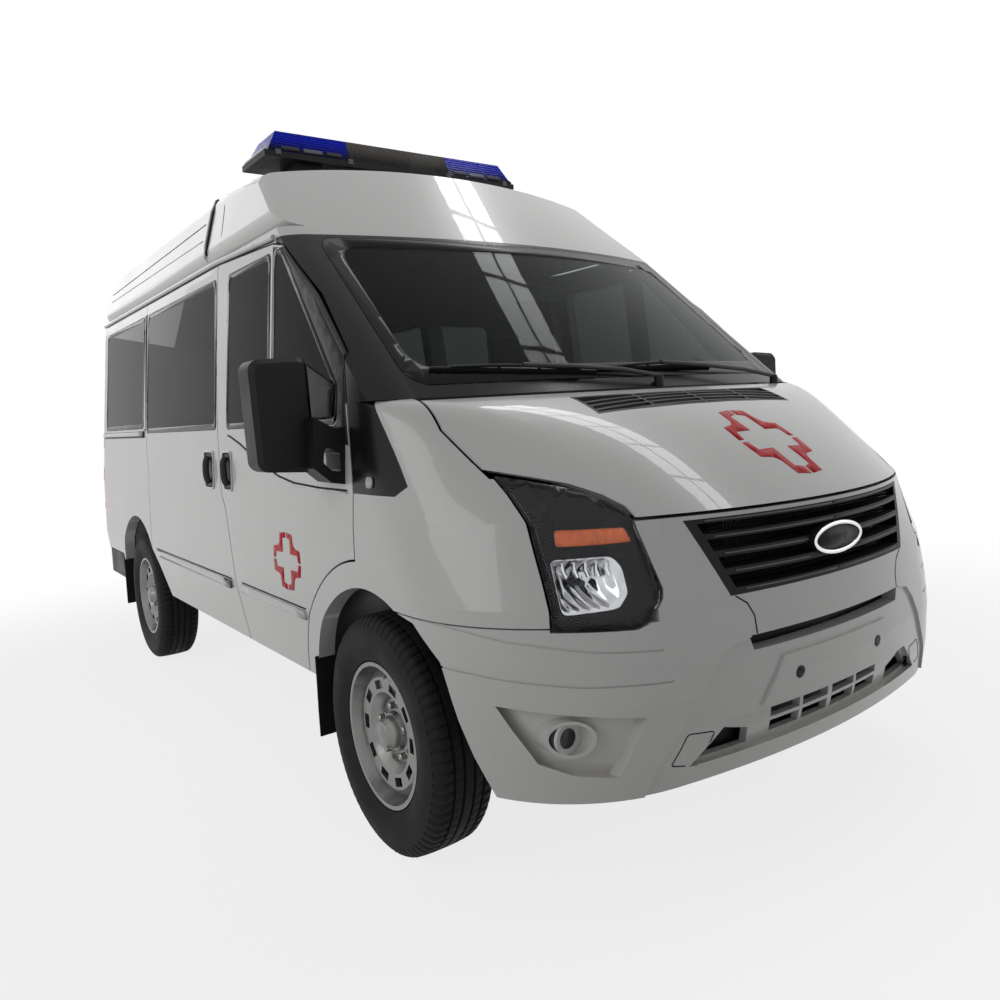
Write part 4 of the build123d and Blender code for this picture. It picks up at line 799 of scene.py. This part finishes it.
def spread(outline, step):
    """The outline with extra points, so that a strip along it follows the lamp's curve."""
    points = []
    for _, here, after in neighbours(outline):
        count = max(1, int((after - here).length / step))
        points += [tuple(here.lerp(after, j / count)) for j in range(count)]
    return points


def lamp_point(a, b, lift):
    return on_face("headlamps", FROM_FRONT, a, b, lift)


SKIN = rounded(inset(HEADLAMP, 0.004), 0.008, 3)
HOLE = rounded(REFLECTOR, 0.012, 4)
films("headlamp_lens_*", SKIN, FROM_FRONT, "headlamps", LENS, lift=0.0, thickness=0.0025, cell=0.03,
      replaces=("headlamps",))
films("headlamp_housing_*", SKIN, FROM_FRONT, "headlamps", GLOSS_BLACK, holes=(HOLE,), lift=-HOUSING_DEPTH,
      thickness=0.003, cell=0.03)
films("headlamp_indicator_*", rounded(INDICATOR, 0.008), FROM_FRONT, "headlamps", AMBER, lift=-0.005,
      thickness=0.009, cell=0.03)
for side, name in SIDES:
    ring = spread(mirrored(SKIN, side), 0.02)
    wall = [lamp_point(a, b, lift) for lift in (-0.0005, -0.040) for a, b in ring]
    Shape().add(wall, ring_faces(2, len(ring))).piece(f"headlamp_wall_{name}", RUBBER, thickness=WALL)
    edge = [lamp_point(a, b, -HOUSING_DEPTH) for a, b in spread(mirrored(HOLE, side), 0.008)]
    count = len(edge)
    middle = sum(edge, Vector()) / count
    bowl = [p.lerp(middle, t) + Vector((0, BOWL_DEPTH * (1 - (1 - t) ** 2), 0)) for t in BOWL_STEPS for p in edge]
    last = len(bowl) - count
    faces = ring_faces(len(BOWL_STEPS), count) + [(last + i, last + (i + 1) % count, len(bowl)) for i in range(count)]
    bowl.append(middle + Vector((0, BOWL_DEPTH, 0)))
    Shape().add(bowl, faces).piece(f"headlamp_bowl_{name}", SILVER, thickness=WALL)
    bulb = Shape().lathe(BULB, middle + Vector((0, BOWL_DEPTH - 0.002, 0)), (0, -1, 0), 20)
    bulb.piece(f"headlamp_bulb_{name}", DARK_GREY, "lamp_glass")
    flutes = Shape()
    for i in range(5):
        a = side * (REFLECTOR[0][0] - 0.018 - 0.022 * i)
        top, low = lamp_point(a, 0.912, -HOUSING_DEPTH - 0.006), lamp_point(a, 0.880, -HOUSING_DEPTH - 0.022)
        flutes.tube([top, top.lerp(low, 0.5) + Vector((0, 0.006, 0)), low], 0.0055, 8)
    flutes.piece(f"headlamp_flutes_{name}", CHROME)

# ---- fog lamps
FOG_X, FOG_Z, FOG_RADIUS = 0.800, 0.494, 0.0375
FOG_PARTS = (
    # profile (along, radius), material's number, whether it is a ring
    ([(0.000, 0.0), (0.001, 0.012), (0.003, 0.024), (0.007, 0.024), (0.005, 0.012), (0.004, 0.0)], 0, False),
    ([(-0.002, FOG_RADIUS), (-0.001, 0.032), (0.001, 0.025), (0.006, 0.024), (0.009, 0.030), (0.009, FOG_RADIUS)],
     2, True),
    ([(0.010, FOG_RADIUS), (0.030, 0.028), (0.045, 0.014), (0.048, 0.0), (0.050, 0.0), (0.050, 0.030),
      (0.012, FOG_RADIUS)], 1, False),
)
for side, name in SIDES:
    rim, _ = cast("fog_lamps", FROM_FRONT, side * FOG_X, FOG_Z + 0.042)
    fog = Shape()
    for profile, mat, closed in FOG_PARTS:
        fog.lathe(profile, (side * FOG_X, rim.y + 0.016, FOG_Z), (0, 1, 0), 36, mat, closed)
    fog.piece(f"fog_lamp_{name}", [LENS, DARK_GREY, WHITE], "lamp_glass")

# ---- front: badge, grille, air guides, tow covers, plate sockets, seams
BADGE_Z, BADGE_HALF, BADGE_HEIGHT = 0.887, 0.113, 0.045
GRILLE_SLATS = ((0.9405, 0.417), (0.896, 0.396), (0.850, 0.374), (0.981, 0.436), (0.802, 0.352))     # (z, half width)
TOW_COVER = rounded([(0.585, 0.392), (0.540, 0.468), (0.458, 0.458), (0.502, 0.374)], 0.012)
BUMPER_SEAM = stroke([(0.330, 0.684), (0.333, 0.730), (0.352, 0.765), (0.386, 0.788)], 0.004)
GUIDES = (
    # half of the front edge (x, y), lower and upper z
    (((0.0, -2.331), (0.30, -2.313), (0.45, -2.292), (0.52, -2.278), (0.60, -2.258)), 0.335, 0.500),
    (((0.0, -2.372), (0.30, -2.348), (0.42, -2.325)), 0.605, 0.725),
)
oval = ellipse((0, BADGE_Z), BADGE_HALF, BADGE_HEIGHT, 48)
film("badge_face", inset(oval, 0.010), FROM_FRONT, "grille", GLOSS_BLACK, lift=0.0010, thickness=0.0008, cell=0.1)
film("badge_ring", inset(oval, 0.001), FROM_FRONT, "grille", CHROME, holes=(inset(oval, 0.011),), lift=0.0025,
     thickness=0.0022, cell=0.1)
for i, (z, half) in enumerate(GRILLE_SLATS):
    clear = 0.005 if abs(z - BADGE_Z) > 0.05 else BADGE_HALF + 0.004
    for part, x_from, x_to in (("a", -half, -clear), ("b", clear, half)):
        film(f"grille_line_{i + 1}{part}", stroke([(x_from, z), (x_to, z)], 0.004), FROM_FRONT, "grille", GREY,
             "black_plastic", lift=0.003, thickness=0.0025, cell=0.05)
mesh_grid = Shape()
for i in range(20):
    z = 0.805 + 0.009 * i
    half = 0.372 + (z - 0.790) * 0.457 - 0.03
    mesh_grid.tube([(-half, -2.330, z), (0, -2.340, z), (half, -2.330, z)], 0.0016, 5)
for i in range(-30, 31):
    mesh_grid.tube([(i * 0.012, -2.3345, 0.800), (i * 0.012, -2.3345, 0.975)], 0.0014, 5)
mesh_grid.piece("grille_mesh", BLACK)
guide = Shape()
for half, z_from, z_to in GUIDES:
    bow = [(-x, y) for x, y in reversed(half[1:])] + list(half)
    bow += [(x, y + 0.006) for x, y in reversed(bow)]
    guide.prism(bow, lambda a, b, h, z=z_from: Vector((a, b, z + h)), z_to - z_from)
guide.piece("air_guides", BLACK)
for side, name in SIDES:
    film("tow_cover_line" if side > 0 else "tow_cover_line_right", mirrored(TOW_COVER, side), FROM_FRONT,
         "front_bumper", SEAM_AND_SHADE, holes=(mirrored(inset(TOW_COVER, 0.003), side),), lift=0.0006)
    film(f"plate_socket_{name}", ellipse((side * 0.185, 0.553), 0.017, 0.017, 24), FROM_FRONT, "front_bumper", BLACK,
         lift=0.001, thickness=0.0008)
films("bumper_seam_*", BUMPER_SEAM, FROM_FRONT, "front_bumper", SEAM_AND_SHADE, cell=0.03, lift=0.0006)

# ---- mud flaps behind the wheels, fixed under the arches
MUD_FLAPS = (-1.0985, 1.8905)
flap = Shape()
for side, _ in SIDES:
    for y in MUD_FLAPS:
        line = [(y, 0.515), (y + 0.001, 0.420), (y + 0.004, 0.330), (y + 0.003, 0.245)]
        flap.prism(line + [(a + 0.006, b) for a, b in reversed(line)],
                   lambda a, b, h, side=side: Vector((side * (0.982 - h), a, b)), 0.247)
flap.piece("mud_flap_sheets", RUBBER, "rubber", bevel=0.0015, replaces=("mud_flaps",))

# ---- wipers
WIPERS = (
    # name, pivot (x, y), blade's tip and inner end (x, z), arm's end (x, z)
    ("right", (0.016, -1.757), (-0.746, 1.416), (-0.215, 1.385), (-0.470, 1.401)),
    ("left", (0.690, -1.712), (-0.199, 1.396), (0.380, 1.400), (0.080, 1.398)),
)
BLADE_STEPS = 9
CLIP_PLACES = (0.15, 0.38, 0.62, 0.85)


def on_screen(point, lift):
    return on_face("windscreen", FROM_FRONT, *point, lift)


def between(start, end, t):
    return [a + (b - a) * t for a, b in zip(start, end)]


for name, pivot, tip, inner, arm_end in WIPERS:
    blade = Shape()
    line = [between(tip, inner, i / BLADE_STEPS) for i in range(BLADE_STEPS + 1)]
    blade.tube([on_screen(point, 0.004) for point in line], 0.004, 8, mat=1)
    blade.tube([on_screen(point, 0.012) for point in line], 0.0055, 8)
    blade.tube([on_screen(point, 0.014 + 0.014 * math.sin(math.pi * (i + 0.5) / (BLADE_STEPS - 1)))
                for i, point in enumerate(line[1:-1])], 0.005, 8)
    for t in CLIP_PLACES:
        blade.tube([on_screen(between(tip, inner, t), lift) for lift in (0.010, 0.024)], 0.0045, 8)
    seat = cast("windscreen_frame", FROM_ABOVE, *pivot)[0] or cast("bonnet", FROM_ABOVE, *pivot)[0]
    head, end = seat + Vector((0, 0, 0.030)), on_screen(arm_end, 0.030)
    blade.lathe([(-0.012, 0.016), (0.022, 0.016), (0.034, 0.013), (0.038, 0.0)], seat, (0, 0, 1), 20)
    blade.tube([head, head.lerp(end, 0.30) + Vector((0, -0.008, 0.010)),
                head.lerp(end, 0.65) + Vector((0, -0.006, 0.008)), end], 0.0105, 10, flat=0.55)
    blade.piece(f"wiper_{name}", [BLACK, RUBBER])

# ---- light bar: lamps behind the lenses, seams, ends and clips
THIN = {"lift": 0.0012, "thickness": 0.001, "cell": 0.1}
BAR_LAMPS = ((0.300, 0.372, DARK_GREY), (0.392, 0.480, GREY), (0.500, 0.580, DARK_GREY))
BAR_END = rounded([(-0.105, 2.484), (0.185, 2.484), (0.175, 2.500), (-0.095, 2.500)], 0.005)
for i, (x_from, x_to, mat) in enumerate(BAR_LAMPS):
    for end, rays in (("", FROM_FRONT), ("_rear", FROM_REAR)):
        films(f"light_bar_*_lamp{end}_{i + 1}", rounded(rectangle(x_from, 2.488, x_to, 2.506), 0.004), rays,
              "light_bar_lenses", mat, "lamp_glass", **THIN)
for side, name in SIDES:
    film(f"light_bar_{name}_seam", stroke([(side * 0.2640, 2.482), (side * 0.2640, 2.574)], 0.004), FROM_FRONT,
         "light_bar_lenses", BLACK, lift=0.0015, thickness=0.0012, cell=0.1)
    Shape().prism(BAR_END, lambda a, b, h: Vector((side * (0.655 - (b - 2.478) * 0.65 + h), a, b)), 0.004).piece(
        f"light_bar_{name}_end", PALE, "lamp_glass", bevel=0.001)
clip = Shape()
for x in (-0.60, -0.262, 0.262, 0.60):
    for y in (-0.112, 0.192):
        clip.box((x - 0.012, y - 0.004, 2.462), (x + 0.012, y + 0.004, 2.486))
clip.piece("light_bar_clips", GREY, bevel=0.0015)

# ---- rear: lamps, hinges, reflectors, plate panel and handle
TAIL_PARTS = (
    # name, lower and upper z, material
    ("indicator", 1.199, 1.281, AMBER),
    ("reverse", 0.989, 1.071, LENS),
    ("reflector", 0.804, 0.846, SILVER),
)
HINGE_PIN_X, HINGE_PIN_Y = 0.798, 2.4060
HINGES = ((0.690, 0.715), (1.180, 0.715), (1.760, 0.690))        # (z, inner end's x)
for label, z_from, z_to, mat in TAIL_PARTS:
    side_face = [(2.392, z_from), (2.392, z_to), (2.352, z_to), (2.352, z_from)]
    rear_face = rectangle(0.822, z_from, 0.890, z_to)
    for end, outline, rays in (("", side_face, FROM_SIDE), ("_rear", rear_face, FROM_REAR)):
        films(f"tail_{label}{end}_*", outline, rays, "tail_lamps", mat, "red_lens", lift=0.0015, thickness=0.001,
              cell=0.03)
for side, name in SIDES:
    hinge = Shape()
    for z, x in HINGES:
        inner, outer = sorted((side * x, side * (HINGE_PIN_X - 0.001)))
        hinge.box((inner, 2.3995, z - 0.030), (outer, 2.4045, z + 0.030))
        hinge.lathe([(-0.036, 0.0058), (0.036, 0.0058)], (side * HINGE_PIN_X, HINGE_PIN_Y, z), (0, 0, 1), 16)
    hinge.piece(f"rear_hinges_{name}", WHITE, body=body_of(f"rear_door_{name}"), bevel=0.001)
films("bumper_reflector_*", rounded(rectangle(0.600, 0.488, 0.740, 0.512), 0.006), FROM_REAR, "rear_bumper", RED_LENS,
      **THIN)
film("plate_panel", rounded(rectangle(0.135, 0.740, 0.655, 0.870), 0.010), FROM_REAR, "rear_door_left", PALE,
     lift=0.004, thickness=0.0035, cell=0.2)
FITTINGS = (
    # name, CAD node, place (x, z) of its face, corners (x, z), reach past the face, material, bevel
    ("rear_handle", "rear_door_right", (-0.070, 1.050), (-0.125, 0.965), (-0.020, 1.135), 0.006, BLACK, 0.002),
    ("plate_lamp_bar", "rear_door_left", (0.395, 0.905), (0.150, 0.888), (0.640, 0.918), 0.016, BLACK, 0.004),
    ("high_brake_lamp", "high_roof", (0.0, 2.120), (-0.150, 2.108), (0.150, 2.134), 0.012, RED_LENS, 0.005),
)
REAR_GRIP = ((0.004, 1.115), (0.018, 1.098), (0.020, 1.050), (0.018, 1.002), (0.004, 0.985))
for label, node, place, low, high, reach, mat, bevel in FITTINGS:
    face, _ = cast(node, FROM_REAR, *place)
    fitting = Shape().box((low[0], face.y - 0.003, low[1]), (high[0], face.y + reach, high[1]))
    if label == "rear_handle":
        fitting.tube([(-0.072, face.y + out, z) for out, z in REAR_GRIP], 0.012, 12, flat=0.7)
    fitting.piece(label, mat, body=body_of(node), bevel=bevel)

# ---- seats
SEAT_X = 0.430
PAD_CELL = 0.013


def pad_mesh(name, half_u, half_v, half_w, fullness):
    """A closed cushion form: crowned faces, and sides that pull in between the corners."""
    steps = 14
    work = bmesh.new()
    bmesh.ops.create_cube(work, size=2.0)
    bmesh.ops.subdivide_edges(work, edges=work.edges[:], cuts=steps, use_grid_fill=True)
    for vert in work.verts:
        u, v, w = vert.co
        pull = 1 - 0.045 * (1 - u * u) * abs(v) ** 8 - 0.045 * (1 - v * v) * abs(u) ** 8
        corner = 1 - 0.10 * (abs(u) ** 6) * (abs(v) ** 6)
        edge = max(abs(u), abs(v))
        crown = 1 - 0.30 * edge ** 5 + fullness * (1 - u * u) * (1 - v * v)
        vert.co = (u * half_u * pull * corner, v * half_v * pull * corner, w * half_w * crown)
    mesh = bpy.data.meshes.new(name)
    work.to_mesh(mesh)
    work.free()
    return mesh


def evaluated(piece):
    graph = bpy.context.evaluated_depsgraph_get()
    graph.update()
    return bpy.data.meshes.new_from_object(piece.evaluated_get(graph))


def inflate(mesh, name, most):
    """Cloth simulation of a closed pad under a little air pressure, with each point's move capped."""
    piece = new_object(name, mesh)
    modifier(piece, "even_cells", "REMESH", mode="VOXEL", voxel_size=PAD_CELL)
    even = evaluated(piece)
    piece.modifiers.clear()
    piece.data = even
    start = [vert.co.copy() for vert in even.vertices]
    cloth = piece.modifiers.new("fabric", "CLOTH")
    cloth.settings.use_pressure = True
    cloth.settings.uniform_pressure_force = 4
    cloth.settings.effector_weights.gravity = 0
    cloth.settings.quality = 4
    cloth.collision_settings.use_collision = False
    cloth.point_cache.frame_start = 1
    cloth.point_cache.frame_end = 20
    for number in range(1, 21):
        bpy.context.scene.frame_set(number)
    swollen = evaluated(piece)
    bpy.context.scene.frame_set(1)
    piece.modifiers.clear()
    for vert, before, after in zip(even.vertices, start, swollen.vertices):
        move = after.co - before
        if move.length > most:
            move = move.normalized() * most
        vert.co = before + move
    bpy.data.objects.remove(piece)
    return even


def sew(mesh, lines_u, lines_v, deep):
    """Sewn channels: narrow valleys across the pad's upper face."""
    for vert in mesh.vertices:
        if vert.co.z > 0:
            for line in lines_u:
                vert.co.z -= deep * math.exp(-((vert.co.x - line) / 0.009) ** 2)
            for line in lines_v:
                vert.co.z -= deep * math.exp(-((vert.co.y - line) / 0.009) ** 2)
    return mesh


PADS = (
    # name, half sizes, fullness, centre (y, z), lean in degrees, channels along and across, fill
    ("seat_cushion", (0.222, 0.205, 0.048), 0.25, (-0.722, 0.834), 3.0, (-0.135, 0.135), (-0.02,), 0.6),
    ("seat_back", (0.212, 0.268, 0.038), 0.25, (-0.383, 1.205), 75.5, (-0.130, 0.130), (0.05,), 0.6),
    ("headrest", (0.118, 0.080, 0.028), 0.30, (-0.291, 1.577), 78.0, (), (), 0.7),
)
for label, halves, fullness, centre, lean, lines_u, lines_v, fill in PADS:
    mesh = inflate(pad_mesh(label, *halves, fullness), label, 0.010)
    sew(mesh, lines_u, lines_v, 0.007)
    for side, name in SIDES:
        copy = mesh.copy()
        copy.transform(Matrix.Translation((side * SEAT_X, *centre)) @ Matrix.Rotation(math.radians(lean), 4, "X"))
        copy.materials.clear()
        copy.materials.append(CLOTH)
        pad = finish_piece(copy, f"{label}_{name}", "van", "seat_cloth", subdivide=1, replaces=("cab_seats",))
SEAT_BOX = rounded([(-0.890, 0.602), (-0.430, 0.602), (-0.420, 0.780), (-0.520, 0.790), (-0.915, 0.785),
                    (-0.925, 0.740)], 0.015)
SEAT_SHELL = rounded([(-0.470, 0.790), (-0.405, 0.790), (-0.258, 1.455), (-0.300, 1.465)], 0.015)
for side, name in SIDES:
    x = side * SEAT_X
    base = Shape()
    for outline, half in ((SEAT_BOX, 0.215), (SEAT_SHELL, 0.190)):
        base.prism(outline, lambda a, b, h: Vector((x - half + h, a, b)), 2 * half)
    for reach in (-0.060, 0.060):
        base.tube([(x + reach, -0.300, 1.420), (x + reach, -0.285, 1.560)], 0.006)
    base.piece(f"seat_frame_{name}", DARK_GREY, bevel=0.006, replaces=("cab_seats",))

# ---- dashboard details
panel = Shape()
for x in (-0.70, -0.12, 0.12, 0.70):
    panel.lathe([(0.0, 0.040), (0.010, 0.040), (0.010, 0.033), (0.004, 0.031)], (x, -1.132, 1.228), (0, 1, 0), 28)
    for i in range(-2, 3):
        z = 1.228 + i * 0.012
        panel.box((x - 0.028, -1.132, z - 0.0015), (x + 0.028, -1.120, z + 0.0015))
panel.prism(rounded([(-0.130, 0.990), (0.130, 0.990), (0.120, 1.170), (-0.120, 1.170)], 0.012),
            lambda a, b, h: Vector((a, -1.155 + (b - 0.95) * 0.26 + h, b)), 0.014)
hood = [(0.250 + 0.018 * i, 1.290 + 0.055 * math.sin(math.pi * i / 20)) for i in range(21)]
panel.prism(hood, lambda a, b, h: Vector((a, -1.270 + h, b)), 0.130)
panel.piece("dashboard_details", GREY, bevel=0.003)
lever = Shape()
lever.tube([(0.0, -1.135, 0.980), (0.0, -1.075, 1.015), (0.0, -1.050, 1.060)], 0.012, 12)
lever.lathe([(0.0, 0.014), (0.012, 0.024), (0.034, 0.024), (0.044, 0.014), (0.046, 0.0)], (0.0, -1.054, 1.050),
            (0, 0.3, 1), 20)
lever.piece("gear_lever", BLACK)


# ---- floor, light and camera
GROUND_HALF = 40
FADE_FROM, FADE_TO = 2.2, 5.0


def seen_rays(tree):
    """1 for rays from the camera, a mirror or glass, else 0."""
    path = add_node(tree, "LightPath", {})
    seen = path.outputs["Is Camera Ray"]
    for kind in ("Is Glossy Ray", "Is Transmission Ray"):
        seen = add_node(tree, "Math", {0: seen, 1: path.outputs[kind]}, operation="MAXIMUM").outputs["Value"]
    return seen


def mix_shaders(tree, amount, one, other, output):
    mix = add_node(tree, "MixShader", {"Fac": amount, 1: one, 2: other})
    tree.links.new(mix.outputs["Shader"], tree.nodes[output].inputs["Surface"])


def make_stage():
    """A plain pale floor that fades to white away from the object and keeps its shadow."""
    mesh = bpy.data.meshes.new("ground")
    mesh.from_pydata([(a, b, 0) for a, b in rectangle(-GROUND_HALF, -GROUND_HALF, GROUND_HALF, GROUND_HALF)], [],
                     [(0, 1, 2, 3)])
    mat = bpy.data.materials.new("ground")
    mat.use_nodes = True
    tree = mat.node_tree
    shader = tree.nodes["Principled BSDF"]
    feed(tree, shader, {"Base Color": (0.80, 0.80, 0.80, 1), "Roughness": 0.9, "Specular IOR Level": 0.1})
    glow = add_node(tree, "Emission", {"Strength": 1.0})
    place = add_node(tree, "TexCoord", {}).outputs["Object"]
    distance = add_node(tree, "VectorMath", {0: place}, operation="LENGTH")
    fade = add_node(tree, "MapRange", {"Value": distance.outputs["Value"], "From Min": FADE_FROM, "From Max": FADE_TO,
                                       "To Min": 0.80, "To Max": 1.0}, interpolation_type="SMOOTHSTEP")
    amount = add_node(tree, "Math", {0: seen_rays(tree), 1: fade.outputs["Result"]}, operation="MULTIPLY")
    mix_shaders(tree, amount.outputs["Value"], shader.outputs["BSDF"], glow.outputs["Emission"], "Material Output")
    mesh.materials.append(mat)
    new_object("ground", mesh)


def make_world():
    """White where it is seen, mirrored or looked at through glass; a plain dimmer sky lights the object."""
    world = bpy.data.worlds.new("studio")
    bpy.context.scene.world = world
    world.use_nodes = True
    tree = world.node_tree
    back = tree.nodes["Background"]
    feed(tree, back, {"Color": (0.97, 0.98, 1.0, 1), "Strength": 0.24})
    white = add_node(tree, "Background", {"Color": (1, 1, 1, 1), "Strength": 1.0})
    mix_shaders(tree, seen_rays(tree), back.outputs["Background"], white.outputs["Background"], "World Output")


def area_light(name, position, target, size, power):
    data = bpy.data.lights.new(name, "AREA")
    data.shape = "RECTANGLE"
    data.size, data.size_y = size
    data.energy = power
    lamp = new_object(name, data)
    lamp.location = position
    lamp.rotation_euler = (Vector(target) - Vector(position)).to_track_quat("-Z", "Y").to_euler()


# The camera solved from the photo.
CAMERA_PLACE = Vector((-1.99498, -3.76030, 1.29011))
CAMERA_YAW = math.radians(38.3755)
CAMERA_PITCH = math.radians(-2.9827)
CAMERA_ROLL = math.radians(-3.4238)
SENSOR = 36.0
FOCAL_PIXELS = 836.105
IMAGE_SIZE = 1000.0
PRINCIPAL = (564.133, 449.342)


def make_camera():
    sin, cos = math.sin, math.cos
    ahead = Vector((sin(CAMERA_YAW) * cos(CAMERA_PITCH), cos(CAMERA_YAW) * cos(CAMERA_PITCH), sin(CAMERA_PITCH)))
    level = Vector((cos(CAMERA_YAW), -sin(CAMERA_YAW), 0))
    upright = level.cross(ahead)
    right = level * cos(CAMERA_ROLL) + upright * sin(CAMERA_ROLL)
    up = upright * cos(CAMERA_ROLL) - level * sin(CAMERA_ROLL)
    data = bpy.data.cameras.new("camera")
    data.sensor_width = SENSOR
    data.lens = FOCAL_PIXELS / IMAGE_SIZE * SENSOR
    data.shift_x = 0.5 - PRINCIPAL[0] / IMAGE_SIZE
    data.shift_y = PRINCIPAL[1] / IMAGE_SIZE - 0.5
    camera = new_object("camera", data)
    camera.matrix_world = Matrix((*[(right[i], up[i], -ahead[i], CAMERA_PLACE[i]) for i in range(3)], (0, 0, 0, 1)))
    bpy.context.scene.camera = camera


LAMPS = (
    # name, position, target, (width, length), power
    ("key", (-6.3, -0.8, 3.3), (0, 0, 1.0), (4.0, 3.0), 80),
    ("fill", (4.5, -5.5, 3.0), (0, 0, 1.0), (3.0, 3.0), 25),
    ("back", (0, 7, 4), (0, 0, 1), (5, 3), 50),
)
SKYLIGHT_ROWS = (2.03, 2.37)
SKYLIGHT_PANES = 7
SKYLIGHT_START = -3.6
SKYLIGHT_PITCH = 0.80
SKYLIGHT_HEIGHT = 5.5
SKYLIGHT_SIZE = (0.30, SKYLIGHT_PITCH - 0.05)
SKYLIGHT_POWER = 4.5

make_stage()
make_world()
for lamp in LAMPS:
    area_light(*lamp)
for row, x in enumerate(SKYLIGHT_ROWS):
    for i in range(SKYLIGHT_PANES):
        y = SKYLIGHT_START + SKYLIGHT_PITCH * i
        area_light(f"skylight_{row + 1}_{i + 1}", (x, y, SKYLIGHT_HEIGHT), (x, y, 0), SKYLIGHT_SIZE, SKYLIGHT_POWER)
make_camera()
bpy.context.scene.view_settings.view_transform = "Standard"
